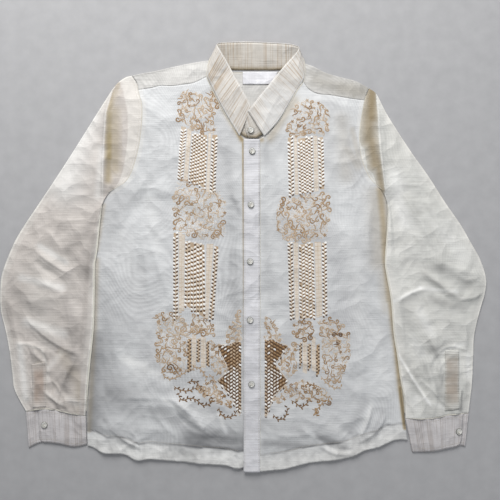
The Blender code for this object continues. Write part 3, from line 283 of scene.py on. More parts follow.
SLEEVE_CREASES = {
    "r": (
        (-242.2, 328, -256, 271.9, -260.1, 208.3, 3.4, 2.2, -0.5),
        (-260.1, 219.5, -262.7, 163.4, -263.5, 114.8, 3.4, 2.2, -0.5),
        (-227.2, 324.3, -223.5, 275.6, -229.1, 200.8, 7.0, -0.8, 0.0),
        (-229.1, 200.8, -234.7, 159.7, -253.4, 126, 5.0, 1.0, 0.0),
        (-388, 13.8, -361.8, -8.6, -326.3, -31, 4.0, 1.5, -0.4),
        (-386.2, -8.6, -365.6, -27.3, -335.7, -42.3, 4.6, -0.9, 0.0),
        (-380.5, -49.7, -361.8, -53.5, -343.1, -64.7, 6.0, 1.6, 0.0),
        (-339.4, -62.8, -324.4, -111.5, -311.4, -182.5, 4.0, 1.4, 0.5),
        (-401.1, -118.9, -361.8, -154.5, -311.4, -180.6, 3.8, 1.7, -0.3),
        (-404.9, -133.9, -365.6, -169.4, -324.4, -188.1, 4.2, -0.8, 0.0),
        (-417.9, -160.1, -376.8, -171.3, -365.6, -199.3, 2.6, 2.0, 0.4),
        (-365.6, -199.3, -364.7, -214.3, -366.5, -231.1, 2.6, 1.4, 0.3),
        (-311.4, -184.4, -328.2, -218, -354.4, -259.2, 3.4, 1.6, 0.4),
        (-374.9, -246.1, -358.1, -262.9, -335.7, -277.9, 2.8, 1.6, 0.0),
        (-290.8, -79.7, -298.3, -135.8, -298.3, -191.9, 4.0, 1.0, 0.0),
        (-417.9, -61, -399.2, -79.7, -391.8, -109.6, 5.0, 1.0, 0.0),
        (-436.6, -79.7, -425.4, -135.8, -410.5, -191.9, 5.0, 1.0, 0.2),
        (-324.4, 144.7, -343.1, 69.9, -365.6, 21.3, 8.0, 1.3, 0.3),
        (-283.3, 144.7, -294.5, 51.2, -298.3, -23.6, 7.0, 1.1, 0.2),
        (-290.8, 256.9, -294.5, 200.8, -317, 144.7, 8.0, 0.9, 0.0),
        (-399.2, -229.3, -391.8, -259.2, -395.5, -281.6, 3.4, 1.2, 0.0),
        (-339.4, -251.7, -331.9, -270.4, -331.9, -289.1, 3.0, 1.1, 0.0),
        (-317, -255.4, -317, -274.1, -309.5, -292.8, 3.0, 1.0, 0.0),
        (-410.5, -163.8, -399.2, -176.9, -399.2, -195.6, 2.4, -1.4, 0.0),
        (-395.5, -161.9, -384.3, -184.4, -369.3, -195.6, 2.4, 1.5, 0.3),
        (-369.3, -214.3, -358.1, -236.7, -361.8, -259.2, 2.6, -1.3, 0.0),
        (-361.8, -229.3, -346.9, -240.5, -339.4, -259.2, 2.4, 1.4, 0.4),
        (-324.4, -195.6, -331.9, -225.5, -328.2, -251.7, 3.0, 1.5, 0.3),
        (-331.9, -229.3, -343.1, -251.7, -350.6, -277.9, 2.6, 1.4, 0.0),
        (-373.1, 51.2, -350.6, 32.5, -331.9, -8.6, 8.0, 1.8, 0.5),
        (-313.2, -8.6, -324.4, -61, -331.9, -113.3, 9.0, -1.2, 0.0),
        (-425.4, -79.7, -380.5, -79.7, -339.4, -72.2, 9.0, 1.3, 0.0),
    ),
    "l": (
        (248.9, 316.8, 252.3, 260.7, 255.3, 200.8, 3.4, 2.2, 0.5),
        (255.3, 212.1, 259.7, 159.7, 265.7, 118.6, 3.4, 2.2, 0.5),
        (232.8, 301.8, 230.9, 238.2, 236.6, 172.8, 7.0, -0.8, 0.0),
        (292.7, 126, 326.3, 73.7, 358.1, 13.8, 5.0, 2.0, 0.4),
        (281.4, 107.3, 311.4, 51.2, 330.1, -1.1, 6.0, -0.9, 0.0),
        (395.5, -27.3, 419.8, -42.3, 447.9, -29.2, 3.8, 1.4, 0.5),
        (335.7, -27.3, 367.5, -51.6, 404.9, -77.8, 4.6, 1.4, -0.2),
        (404.9, -77.8, 429.2, -75.9, 451.6, -62.8, 3.2, 1.6, -0.4),
        (337.5, -42.3, 367.5, -66.6, 397.4, -87.1, 4.6, -0.8, 0.0),
        (290.8, -79.7, 311.4, -66.6, 335.7, -59.1, 3.2, 1.9, 0.4),
        (354.4, -212.4, 363.7, -188.1, 401.1, -167.6, 3.2, -1.6, 0.0),
        (363.7, -218, 374.9, -195.6, 404.9, -176.9, 3.2, 1.2, 0.0),
        (288.9, -182.5, 313.2, -223.7, 348.8, -276, 3.6, 1.8, 0.5),
        (285.2, -79.7, 296.4, -135.8, 300.1, -184.4, 5.0, 1.1, 0.3),
        (386.2, -90.9, 412.3, -128.3, 416.1, -173.2, 4.6, 1.4, 0.0),
        (348.8, -102.1, 360, -143.2, 356.2, -184.4, 6.0, 1.2, 0.3),
        (311.4, 163.4, 348.8, 88.6, 389.9, 32.5, 7.0, 1.1, 0.3),
        (277.7, 238.2, 288.9, 182.1, 285.2, 126, 8.0, 1.0, 0.0),
        (330.1, -248, 337.5, -274.1, 330.1, -296.6, 3.2, 1.1, 0.0),
        (356.2, -229.3, 360, -262.9, 356.2, -289.1, 3.6, 1.1, 0.0),
        (410.5, -191.9, 416.1, -240.5, 412.3, -281.6, 3.2, 1.0, 0.0),
        (315.1, -173.2, 330.1, -210.6, 345, -233, 5.0, 1.0, 0.2),
        (367.5, -176.9, 386.2, -165.7, 416.1, -173.2, 2.6, 1.6, 0.3),
        (360, -203.1, 367.5, -218, 367.5, -244.2, 2.8, 1.4, 0.0),
        (330.1, -229.3, 352.5, -248, 374.9, -274.1, 2.8, 1.4, 0.3),
        (408.6, -244.2, 404.9, -266.7, 408.6, -289.1, 2.4, 1.5, 0.0),
        (367.5, -266.7, 382.4, -277.9, 397.4, -292.8, 2.4, 1.1, 0.0),
        (341.3, -120.8, 367.5, -113.3, 397.4, -120.8, 9.0, 1.5, 0.0),
        (300.1, -8.6, 330.1, -8.6, 363.7, -19.8, 8.0, -1.2, 0.0),
        (330.1, 32.5, 367.5, -8.6, 408.6, -19.8, 8.0, 1.5, 0.3),
    ),
}
# Where several sheer layers lie together the cloth looks deeper in tone; the rows in the sleeve heads'
# valleys, in the gaps under the sleeves' edges, by the armholes, along the strip's free edge, under the
# collar's leaves and under the stand are painted shade.
# x0, y0, x1, y1, width, strength
BODY_LAYERS_AND_SHADE = (
    (255.3, 126, 262, 60.6, 9.5, 0.85),
    (262, 60.6, 265.4, -8.6, 10.0, 0.85),
    (265.4, -8.6, 272.5, -79.7, 8.5, 0.8),
    (273.2, -79.7, 284.1, -163.8, 6.0, 0.8),
    (284.1, -163.8, 292.7, -248, 5.0, 0.95),
    (292.7, -244.2, 302, -319, 3.6, 1.65),
    (249.6, 114.8, 255.3, -8.6, 20.0, 0.34),
    (255.3, -8.6, 266.5, -98.4, 9.0, 0.25),
    (-0.9, 213.9, 1.7, -79.7, 1.7, 1.3),
    (1.7, -79.7, 4.7, -382.6, 1.7, 1.3),
    (184.2, 256.9, 191.7, 154.1, 16.0, 0.22),
    (202.9, 238.2, 217.9, 172.8, 7.0, 0.3),
    (-2.8, 219.5, -25.2, 260.7, 5.0, 1.2),
    (-260.9, 98, -274, 13.8, 4.0, 0.45),
    (-274, -4.9, -277.7, -135.8, 5.0, 0.5),
    (-279.6, -135.8, -288.9, -322.8, 6.0, 0.5),
    (-55.2, 309.3, -14, 242, 7.0, 0.8),
    (-14, 242, 0.9, 219.5, 7.0, 0.9),
    (96.3, 294.3, 49.6, 223.3, 9.0, 0.5),
    (34.6, 219.5, 8.4, 215.8, 5.0, 0.8),
    (191.7, 200.8, 214.1, 172.8, 12.0, 0.3),
)
YOKE_LAYERS_AND_SHADE = (
    (135.6, 331.7, 180.5, 316.8, 15.0, 0.62),
    (180.5, 316.8, 225.3, 309.3, 16.0, 0.8),
    (202.9, 324.3, 206.6, 301.8, 6.0, 0.75),
    (128.1, 343, 161.8, 339.2, 9.0, 0.45),
    (-55.2, 357.9, -66.4, 339.2, 5.0, 0.4),
    (113.1, 350.4, 111.3, 324.3, 6.0, 0.5),
    (-21.5, 346.7, 68.3, 346.7, 3.0, 0.9),
)
SLEEVE_LAYERS_AND_SHADE = {
    "r": (
        (-248.5, 309.3, -250, 268.2, 9.0, 0.75),
        (-250, 268.2, -250.8, 230.8, 9.0, 0.88),
        (-250.8, 230.8, -251.1, 185.9, 9.0, 0.98),
        (-244, 271.9, -242.2, 167.2, 14.0, 0.52),
        (-251.1, 185.9, -252.6, 144.7, 8.0, 0.7),
        (-234.7, 324.3, -245.9, 294.3, 10.0, 0.4),
        (-380.5, -203.1, -378.7, -276, 10.0, 0.3),
        (-339.4, -176.9, -305.7, -236.7, 13.0, 0.2),
        (-305.7, -236.7, -298.3, -289.1, 13.0, 0.26),
    ),
    "l": (
        (240.3, 316.8, 238.4, 260.7, 17.0, 0.98),
        (234.7, 275.6, 234.7, 219.5, 18.0, 0.86),
        (238.4, 219.5, 245.9, 172.8, 15.0, 0.88),
        (247.8, 189.6, 259, 126, 9.0, 0.85),
        (388, -182.5, 388, -262.9, 10.0, 0.3),
    ),
}
# Painted shade and painted light over the cloths' broad folds and hollows: darker above 0, paler below 0.
PAINTED_SHADING = {
    "body": (
        (-88.8, -330.2, -0.9, -339.6, 17.0, 0.22),
        (4.7, -352.7, 34.6, -352.7, 8.0, 0.2),
        (-260.9, -326.5, -100, -341.5, 15.0, 0.2),
        (-257.1, -262.9, -174.8, -289.1, 15.0, 0.14),
        (-107.5, -341.5, -2.8, -350.8, 13.0, 0.34),
        (-88.8, -356.4, -2.8, -363.9, 6.0, 0.3),
        (-275.8, -154.5, -283.3, -322.8, 15.0, 0.51),
        (-260.9, -79.7, -245.9, -257.3, 22.0, 0.22),
        (-249.6, -251.7, -144.9, -251.7, 12.0, 0.22),
        (-223.5, -188.1, -141.2, -225.5, 9.0, -0.41),
        (-219.7, -191.9, -193.5, -221.8, 12.0, -0.19),
        (-156.1, -289.1, -103.8, -319, 15.0, 0.41),
        (-148.7, -264.8, -77.6, -315.3, 3.6, -0.54),
        (-107.5, -266.7, -58.9, -304.1, 13.0, -0.19),
        (-45.8, -292.8, -32.7, -326.5, 4.0, -0.46),
        (-81.3, -330.2, -2.8, -335.9, 15.0, 0.3),
        (-100, -352.7, -2.8, -362, 9.0, 0.54),
        (-230.9, -348.9, -100, -356.4, 6.0, 0.35),
        (-260.9, -304.1, -219.7, -341.5, 4.0, 0.38),
        (-29, 200.8, -12.2, -135.8, 11.0, 0.22),
        (-21.5, 114.8, -6.5, 81.2, 5.0, 0.34),
        (-19.6, -135.8, -6.5, -176.9, 5.0, 0.35),
        (-6.5, -236.7, -6.5, -251.7, 3.0, 0.3),
        (-238.4, 81.2, -174.8, 152.2, 20.0, 0.14),
        (-174.8, 107.3, -159.9, 13.8, 12.0, -0.2),
        (-221.6, 32.5, -202.9, -79.7, 20.0, -0.16),
        (38.3, 200.8, 60.8, 154.1, 10.0, 0.19),
        (36.5, 79.3, 53.3, -79.7, 9.0, 0.14),
        (180.5, 275.6, 202.9, 182.1, 12.0, 0.16),
        (105.7, 303.7, 180.5, 294.3, 20.0, -0.16),
        (199.2, 32.5, 221.6, -135.8, 16.0, -0.19),
        (42.1, -347.1, 161.8, -356.4, 8.0, 0.57),
        (139.3, -334, 189.8, -356.4, 7.0, 0.59),
        (189.8, -356.4, 229.1, -341.5, 4.0, 0.41),
        (34.6, -313.4, 105.7, -322.8, 12.0, 0.24),
        (161.8, -313.4, 202.9, -337.7, 8.0, -0.22),
        (240.3, -274.1, 217.9, -334, 4.6, -0.35),
        (260.9, -289.1, 240.3, -330.2, 4.6, 0.27),
        (229.1, -270.4, 199.2, -322.8, 9.0, 0.22),
        (270.2, -313.4, 288.9, -330.2, 4.0, 0.34),
        (247.8, -135.8, 270.2, -251.7, 12.0, -0.16),
    ),
    "r": (
        (-391.8, -79.7, -331.9, -184.4, 44.0, 0.14),
        (-320.7, -214.3, -343.1, -266.7, 16.0, 0.16),
        (-294.5, 256.9, -335.7, 133.5, 34.0, -0.57),
        (-275.8, 66.2, -331.9, 13.8, 10.0, 0.3),
        (-279.6, 32.5, -290.8, -34.8, 12.0, 0.35),
        (-328.2, 10.1, -290.8, -23.6, 9.0, 0.27),
        (-380.5, 21.3, -331.9, -8.6, 6.0, -0.46),
        (-429.2, -64.7, -384.3, -98.4, 13.0, 0.27),
        (-414.2, -38.5, -339.4, -57.2, 8.0, -0.46),
        (-403, -120.8, -335.7, -143.2, 11.0, -0.49),
        (-331.9, -75.9, -309.5, -154.5, 9.0, 0.32),
        (-294.5, -79.7, -298.3, -173.2, 7.0, 0.16),
        (-317, -176.9, -331.9, -251.7, 8.0, 0.24),
        (-417.9, -165.7, -406.7, -262.9, 7.0, -0.51),
        (-346.9, -251.7, -309.5, -274.1, 7.0, -0.27),
        (-393.6, -188.1, -380.5, -251.7, 7.0, 0.32),
        (-369.3, -176.9, -365.6, -199.3, 3.0, 0.34),
        (-361.8, -203.1, -339.4, -176.9, 7.0, -0.3),
        (-272.1, 114.8, -264.6, 200.8, 7.0, -0.41),
    ),
    "l": (
        (298.3, -184.4, 322.6, -221.8, 5.0, 0.2),
        (322.6, -221.8, 354.4, -270.4, 5.0, 0.18),
        (345, -154.5, 360, -180.6, 5.0, 0.34),
        (363.7, -188.1, 371.2, -236.7, 6.0, 0.26),
        (374.9, -173.2, 408.6, -161.9, 4.0, -0.5),
        (345, -203.1, 356.2, -244.2, 3.6, -0.3),
        (322.6, -259.2, 374.9, -281.6, 4.0, -0.35),
        (378.7, -270.4, 397.4, -262.9, 4.0, 0.3),
        (408.6, -251.7, 404.9, -285.4, 2.6, 0.5),
        (281.4, 152.2, 300.1, 66.2, 16.0, -0.53),
        (300.1, 114.8, 378.7, 13.8, 9.0, 0.25),
        (337.5, 66.2, 408.6, 2.6, 16.0, -0.25),
        (300.1, -8.6, 367.5, -23.6, 9.0, 0.28),
        (367.5, -16.1, 419.8, -46, 11.0, 0.3),
        (341.3, -34.8, 389.9, -68.4, 5.5, 0.26),
        (281.4, -81.5, 330.1, -57.2, 3.6, -0.53),
        (330.1, -57.2, 397.4, -64.7, 3.6, -0.56),
        (352.5, -79.7, 408.6, -94.6, 8.0, 0.4),
        (296.4, -90.9, 315.1, -135.8, 12.0, 0.19),
        (330.1, -102.1, 352.5, -143.2, 9.0, -0.4),
        (348.8, -173.2, 386.2, -161.9, 7.0, 0.34),
        (337.5, -195.6, 367.5, -259.2, 9.0, 0.4),
        (315.1, -154.5, 341.3, -191.9, 9.0, -0.25),
        (296.4, -233, 322.6, -277.9, 9.0, -0.25),
        (419.8, -184.4, 419.8, -221.8, 6.0, -0.46),
        (419.8, -236.7, 408.6, -281.6, 6.0, 0.25),
        (288.9, -180.6, 313.2, -221.8, 2.2, -0.7),
        (313.2, -221.8, 348.8, -276, 2.2, -0.6),
    ),
}
# Bends where the sleeve head folds over: x, y down the ridge.
HEAD_RIDGE = {
    "r": ((-242.2, 328), (-256, 271.9), (-260.5, 208.3), (-263.5, 114.8)),
    "l": ((248.9, 316.8), (252.3, 260.7), (255.3, 200.8), (265.7, 118.6)),
}
# Painted highlights on the sleeves' ridges and broad lit stretches: x0, y0, x1, y1, width, strength.
SLEEVE_PAINTED_LIGHT = {
    "r": (
        (-365.6, -8.6, -380.5, -79.7, 32.0, 0.5),
        (-391.8, -79.7, -361.8, -154.5, 24.0, 0.45),
        (-335.7, 2.6, -346.9, -16.1, 9.0, 0.4),
        (-234.7, 256.9, -227.2, 200.8, 13.0, 0.3),
        (-253.4, 324.3, -216, 335.5, 9.0, 0.35),
        (-417.9, -160.1, -376.8, -171.3, 2.6, 0.8),
        (-376.8, -171.3, -365.6, -203.1, 2.6, 0.8),
        (-365.6, -203.1, -365.6, -231.1, 2.6, 0.7),
        (-374.9, -246.1, -339.4, -274.1, 3.0, 0.6),
        (-317, -184.4, -331.9, -214.3, 3.0, 0.5),
        (-417.9, -163.8, -410.5, -266.7, 9.0, 0.35),
    ),
    "l": (
        (285.2, 88.6, 300.1, -8.6, 20.0, 0.4),
        (311.4, -79.7, 360, -135.8, 30.0, 0.4),
        (292.7, -117.1, 315.1, -210.6, 16.0, 0.35),
        (270.2, 275.6, 296.4, 182.1, 18.0, 0.35),
        (412.3, -182.5, 416.1, -225.5, 8.0, 0.7),
        (290.8, -184.4, 346.9, -274.1, 3.4, 0.8),
        (337.5, -27.3, 404.9, -77.8, 5.0, 0.5),
        (290.8, -79.7, 335.7, -57.2, 5.0, 0.4),
    ),
}


def step(v):
    """Smooth rise from 0 to 1."""
    v = np.clip(v, 0.0, 1.0)
    return v * v * (3.0 - 2.0 * v)


def smooth_line(points, parts=8):
    """Catmull-Rom curve through a row of points."""
    p = np.array(points, float)
    ext = np.vstack([p[:1], p, p[-1:]])
    u = (np.arange(parts) / parts)[:, None]
    out = []
    for i in range(len(p) - 1):
        a, b, c, d = ext[i:i + 4]
        out.append(0.5 * (2 * b + (c - a) * u + (2 * a - 5 * b + 4 * c - d) * u ** 2
                          + (3 * b - a - 3 * c + d) * u ** 3))
    return np.vstack(out + [p[-1:]])


class Line:
    """A smooth curve, read by fraction of its plan length."""

    def __init__(self, points):
        self.pts = smooth_line([tuple(q)[:2] for q in points])
        d = np.hypot(*np.diff(self.pts, axis=0).T)
        self.run = np.concatenate([[0.0], np.cumsum(d)])
        self.length = self.run[-1]

    def at(self, k):
        want = np.clip(k, 0.0, 1.0) * self.length
        return np.stack([np.interp(want, self.run, self.pts[:, i]) for i in (0, 1)], -1)

    def gap_to(self, x, y):
        """Distance from points to the curve."""
        best = np.full(np.shape(x), 1e9)
        for a, b in zip(self.pts[::2], self.pts[2::2]):
            best = np.minimum(best, segment(x, y, a[0], a[1], b[0], b[1])[0])
        return best


def segment(x, y, x0, y0, x1, y1):
    """Distance to a segment, fraction along it, and the signed side."""
    dx = x1 - x0
    dy = y1 - y0
    n = dx * dx + dy * dy + 1e-9
    u = ((x - x0) * dx + (y - y0) * dy) / n
    v = np.clip(u, 0.0, 1.0)
    side = ((x - x0) * dy - (y - y0) * dx) / math.sqrt(n)
    return np.hypot(x - x0 - dx * v, y - y0 - dy * v), v, side


def spots(rows, x, y):
    """The bell-shaped share of each row x0, y0, x1, y1, width, strength, with its run along the row."""
    for x0, y0, x1, y1, width, strength in rows:
        d, u = segment(x, y, x0, y0, x1, y1)[:2]
        yield strength * np.exp(-(d / width) ** 2), u


def folds(rows, x, y):
    """Straight soft folds, highest in the middle of their run."""
    return sum(high * (0.45 + 0.55 * np.sin(np.pi * u)) for high, u in spots(rows, x, y))


def creases(rows, x, y):
    """Bent creases, sharper on one side than on the other."""
    parts = 6
    total = np.zeros(np.shape(x))
    for x0, y0, x1, y1, x2, y2, width, height, skew in rows:
        best = np.full(np.shape(x), 1e9)
        along = np.zeros(np.shape(x))
        sign = np.zeros(np.shape(x))
        t = np.linspace(0.0, 1.0, parts + 1)
        px = (1 - t) ** 2 * x0 + 2 * t * (1 - t) * (2 * x1 - 0.5 * (x0 + x2)) + t ** 2 * x2
        py = (1 - t) ** 2 * y0 + 2 * t * (1 - t) * (2 * y1 - 0.5 * (y0 + y2)) + t ** 2 * y2
        for i in range(parts):
            d, u, side = segment(x, y, px[i], py[i], px[i + 1], py[i + 1])
            near = d < best
            best = np.where(near, d, best)
            along = np.where(near, (i + u) / parts, along)
            sign = np.where(near, side, sign)
        w = width * np.where(sign > 0.0, 1.0 + skew, 1.0 - skew * 0.8)
        fade = np.sin(np.pi * np.clip(along * 0.9 + 0.05, 0, 1)) ** 0.7
        total = total + height * fade * np.exp(-(best / w) ** 1.5)
    return total


def ripple(x, y, size, seed, ridged=False):
    """Smooth noise over the plan, from -1 to 1."""
    flat_x = np.ravel(x)
    flat_y = np.ravel(y)
    out = np.empty(len(flat_x))
    for i in range(len(flat_x)):
        out[i] = noise.noise((flat_x[i] / size, flat_y[i] / size, seed))
    out = out.reshape(np.shape(x))
    return 1.0 - 3.0 * np.abs(out) if ridged else out


# The outlines as smooth curves.
ARM = {k: Line(v) for k, v in ARMHOLE.items()}
OUTER = {k: Line(v) for k, v in SLEEVE_OUTER.items()}
INNER = {k: Line(v) for k, v in SLEEVE_INNER.items()}
SHOULDER_LINE = {k: Line(v) for k, v in SHOULDER.items()}
YOKE_LINE = {k: Line(v[:-1] + (tuple(ARM[k].at(FRONT_YOKE)),)) for k, v in YOKE_FRONT.items()}
CUFF_TOP = {s: Line(CUFF[s]["top"]) for s in ("r", "l")}
CUFF_END = {s: Line(CUFF[s]["end"]) for s in ("r", "l")}
HEM_LINE = {s: Line(HEM[s]) for s in ("r", "l")}
SIGN = {"r": 1.0, "l": -1.0}
WORD = {"r": "right", "l": "left"}


def side_point(side, k):
    """Point of the side seam, which runs under the sleeve's inner edge except at its ends."""
    x, y = INNER[side].at(k * 0.985)
    over = SLEEVE_OVER * step((k - 0.16) / 0.2) * (1.0 - step((k - 0.78) / 0.14))
    clear = 0.8 * (1.0 - step((k - 0.16) / 0.1)) + 1.6 * step((k - 0.8) / 0.1)
    return (x + SIGN[side] * (clear - over), y)


def side_rows(side, count):
    """Points of the side seam from the armpit to the hem."""
    rows = [side_point(side, i / count) for i in range(count + 1)]
    rows[0] = tuple(ARM[side].at(1.0))
    end = SIDE_END[side]
    mid = ((rows[-1][0] + end[0]) / 2, (rows[-1][1] + end[1]) / 2)
    return rows + [mid, end]


SIDE = {s: Line(side_rows(s, 16)) for s in ("r", "l")}


def body_lift(x, y):
    """How far the upper layer of the body stands off the lower one."""
    near_r = np.minimum(SIDE["r"].gap_to(x, y) - SIDE_FLAT, SHOULDER_LINE["r"].gap_to(x, y) - 2.0)
    near_l = np.minimum(SIDE["l"].gap_to(x, y) - SIDE_FLAT, SHOULDER_LINE["l"].gap_to(x, y) - 2.0)
    near = np.where(x < 0.0, near_r, near_l)
    collar = np.hypot(x - 15.0, (y - 300.0) * 0.8)
    wave = 0.45 * np.sin(x * 0.021 + y * 0.011) * np.sin(y * 0.017 - x * 0.006)
    open_up = step((collar - 75.0) / 50.0)
    edge = step(near / SIDE_RISE)
    lift = np.maximum(0.05, BASE_LIFT + wave + folds(BODY_FOLDS, x, y) * open_up) * edge
    flat_strip = 1.0 - 0.65 * np.exp(-((x - 16.0) / 22.0) ** 4)
    low = step((-60.0 - y) / 160.0)
    soft = creases(BODY_CREASES, x, y) * (1.5 + 0.9 * low)
    soft = soft + 1.5 * ripple(x + y * 0.5, y - x * 0.3, 70.0, 1.7, True)
    soft = soft + (0.25 + 0.25 * low) * ripple(x, y, 20.0, 5.1, True)
    lift = lift + soft * flat_strip * (0.15 + 0.85 * edge) * (0.35 + 0.65 * open_up)
    return np.maximum(lift, 0.0)


def tone_of(rows, x, y):
    """Layered tone, painted shade or painted light: the strongest of the rows that reach a point."""
    total = np.zeros(np.shape(x))
    for tone, _ in spots(rows, x, y):
        total = np.maximum(total, tone)
    return np.clip(total, 0.0, DEEPEST_TONE)


def painted_shading_of(rows, x, y):
    """Painted shade or painted light: all rows together."""
    return np.clip(sum(painted_shading for painted_shading, _ in spots(rows, x, y)), -MOST_PAINTED_SHADING, MOST_PAINTED_SHADING)


def coons(top, bottom, left, right):
    """Plan grid of a four-sided patch from its edge points."""
    n = len(top)
    m = len(left)
    s = np.linspace(0, 1, n)[None, :, None]
    t = np.linspace(0, 1, m)[:, None, None]
    return ((1 - t) * top[None] + t * bottom[None] + (1 - s) * left[:, None] + s * right[:, None]
            - ((1 - s) * (1 - t) * top[0] + s * (1 - t) * top[-1]
               + (1 - s) * t * bottom[0] + s * t * bottom[-1]))


def make_mesh(name, verts, faces, uvs=None, tones=None, material=None, smooth=True, painted_shadings=None):
    """A mesh from points in mm, with its cloth map and point attributes."""
    mesh = bpy.data.meshes.new(name)
    mesh.from_pydata((np.asarray(verts) * SCALE).tolist(), [], faces)
    if uvs is not None:
        layer = mesh.uv_layers.new(name="cloth")
        idx = np.empty(len(mesh.loops), int)
        mesh.loops.foreach_get("vertex_index", idx)
        layer.data.foreach_set("uv", (np.asarray(uvs)[idx] * SCALE).astype(np.float32).ravel())
    for kind, values in (("tone", tones), ("painted_shading", painted_shadings)):
        if values is not None:
            layer = mesh.attributes.new(kind, "FLOAT", "POINT")
            layer.data.foreach_set("value", np.asarray(values, np.float32).ravel())
    mesh.update()
    if smooth:
        mesh.polygons.foreach_set("use_smooth", np.ones(len(mesh.polygons), bool))
    obj = bpy.data.objects.new(name, mesh)
    bpy.context.scene.collection.objects.link(obj)
    if material:
        obj.data.materials.append(material)
    return obj


def clean(obj, weld=0.0):
    """Drop loose points, weld close ones where asked, and turn all faces outwards."""
    bm = bmesh.new()
    bm.from_mesh(obj.data)
    if weld:
        bmesh.ops.remove_doubles(bm, verts=bm.verts, dist=weld)
    bmesh.ops.delete(bm, geom=[v for v in bm.verts if not v.link_faces], context="VERTS")
    bmesh.ops.recalc_face_normals(bm, faces=bm.faces)
    bm.to_mesh(obj.data)
    bm.free()


def shell(name, top, uv, tone, material, thick=SKIN, wrap=False, low=None, present=None, painted_shading=None):
    """Thin closed shell: an outer grid of points and its inner one below it."""
    top = np.asarray(top, float)
    rows, cols = top.shape[:2]
    if low is None:
        low = top.copy()
        low[..., 2] -= thick
    count = rows * cols
    verts = np.vstack([top.reshape(-1, 3), np.asarray(low).reshape(-1, 3)])
    faces = []
    edge = {}
    wide = cols if wrap else cols - 1
    for i in range(rows - 1):
        for j in range(wide):
            k = (j + 1) % cols
            if present is not None and not present[i:i + 2, [j, k]].all():
                continue
            quad = (i * cols + j, i * cols + k, (i + 1) * cols + k, (i + 1) * cols + j)
            faces.append(quad)
            faces.append(tuple(q + count for q in reversed(quad)))
            for a, b in zip(quad, quad[1:] + quad[:1]):
                if (b, a) in edge:
                    del edge[(b, a)]
                else:
                    edge[(a, b)] = 1
    skins = len(faces)
    for a, b in edge:
        faces.append((b, a, a + count, b + count))
    uvs = np.vstack([np.asarray(uv).reshape(-1, 2)] * 2)
    tones = np.concatenate([np.asarray(tone).ravel()] * 2)
    painted_shadings = None if painted_shading is None else np.concatenate([np.asarray(painted_shading).ravel()] * 2)
    obj = make_mesh(name, verts, faces, uvs, tones, material, painted_shadings=painted_shadings)
    # the rim stays crisp, so the skins are not shaded round it
    obj.data.polygons.foreach_set("use_smooth", np.arange(len(faces)) < skins)
    clean(obj)
    return obj


# Colours shared by the cloths.
TAN = (0.52, 0.44, 0.27)
# Pale colour of doubled seams and hems, also used for painted highlights on ridges and edges.
PALE_SEAM_AND_HIGHLIGHT = (0.83, 0.81, 0.765)
SHADE_DEEP = (0.12, 0.09, 0.05)
# The next two colours are painted light and painted shade.
PAINTED_LIGHT = (0.93, 0.93, 0.915)
PAINTED_SHADE = (0.30, 0.30, 0.31)
SLUB_DARK = (0.62, 0.61, 0.59)


def blank_material(name):
    """A new material, its nodes and its shader."""
    mat = bpy.data.materials.new(name)
    mat.use_nodes = True
    return mat, mat.node_tree, mat.node_tree.nodes["Principled BSDF"]


def attribute(tree, name):
    """A point attribute of the mesh."""
    return node(tree, "ShaderNodeAttribute", attribute_name=name, attribute_type="GEOMETRY").outputs["Fac"]


def relief(tree, shader, height, strength, distance):
    """Bumps of the surface that follow a height."""
    bump = tree.nodes.new("ShaderNodeBump")
    bump.inputs["Strength"].default_value = strength
    bump.inputs["Distance"].default_value = distance
    tree.links.new(height, bump.inputs["Height"])
    tree.links.new(bump.outputs["Normal"], shader.inputs["Normal"])


def node(tree, kind, **values):
    """A node with the given input values and settings."""
    n = tree.nodes.new(kind)
    for key, value in values.items():
        if key in n.inputs:
            n.inputs[key].default_value = value
        else:
            setattr(n, key, value)
    return n


def ramp(tree, fac, stops):
    """Colour by a value, from stops of position and colour."""
    n = tree.nodes.new("ShaderNodeValToRGB")
    while len(n.color_ramp.elements) < len(stops):
        n.color_ramp.elements.new(0.5)
    for e, (pos, col) in zip(n.color_ramp.elements, stops):
        e.position = pos
        e.color = (*col, 1.0)
    tree.links.new(fac, n.inputs["Fac"])
    return n.outputs["Color"]


def mixed(tree, fac, a, b, mode="MIX"):
    """Two colours mixed by fac; each input is a number, a colour or a socket."""
    n = tree.nodes.new("ShaderNodeMix")
    n.data_type = "RGBA"
    n.blend_type = mode
    for value, socket in ((fac, n.inputs[0]), (a, n.inputs[6]), (b, n.inputs[7])):
        if isinstance(value, (int, float)):
            socket.default_value = value
        elif isinstance(value, tuple):
            socket.default_value = (*value, 1.0)
        else:
            tree.links.new(value, socket)
    return n.outputs[2]


def maths(tree, op, a, b=None):
    """A maths node on numbers or sockets."""
    n = tree.nodes.new("ShaderNodeMath")
    n.operation = op
    for value, socket in zip((a, b), n.inputs):
        if value is None:
            continue
        if isinstance(value, (int, float)):
            socket.default_value = value
        else:
            tree.links.new(value, socket)
    return n.outputs[0]


def times(tree, a, b):
    return maths(tree, "MULTIPLY", a, b)


def plus(tree, a, b):
    return maths(tree, "ADD", a, b)


def above_zero(tree, a):
    return maths(tree, "MAXIMUM", a, 0.0)


def stretched_noise(tree, coord, sx, sy, detail=2.0, rough=0.5, seed=0.0):
    """Noise with sx and sy cells a metre along the two directions."""
    mapping = tree.nodes.new("ShaderNodeMapping")
    mapping.inputs["Scale"].default_value = (sx, sy, 1.0)
    mapping.inputs["Location"].default_value = (seed, seed * 0.7, 0.0)
    tree.links.new(coord, mapping.inputs["Vector"])
    n = tree.nodes.new("ShaderNodeTexNoise")
    n.inputs["Scale"].default_value = 1.0
    n.inputs["Detail"].default_value = detail
    n.inputs["Roughness"].default_value = rough
    tree.links.new(mapping.outputs["Vector"], n.inputs["Vector"])
    return n.outputs["Fac"]


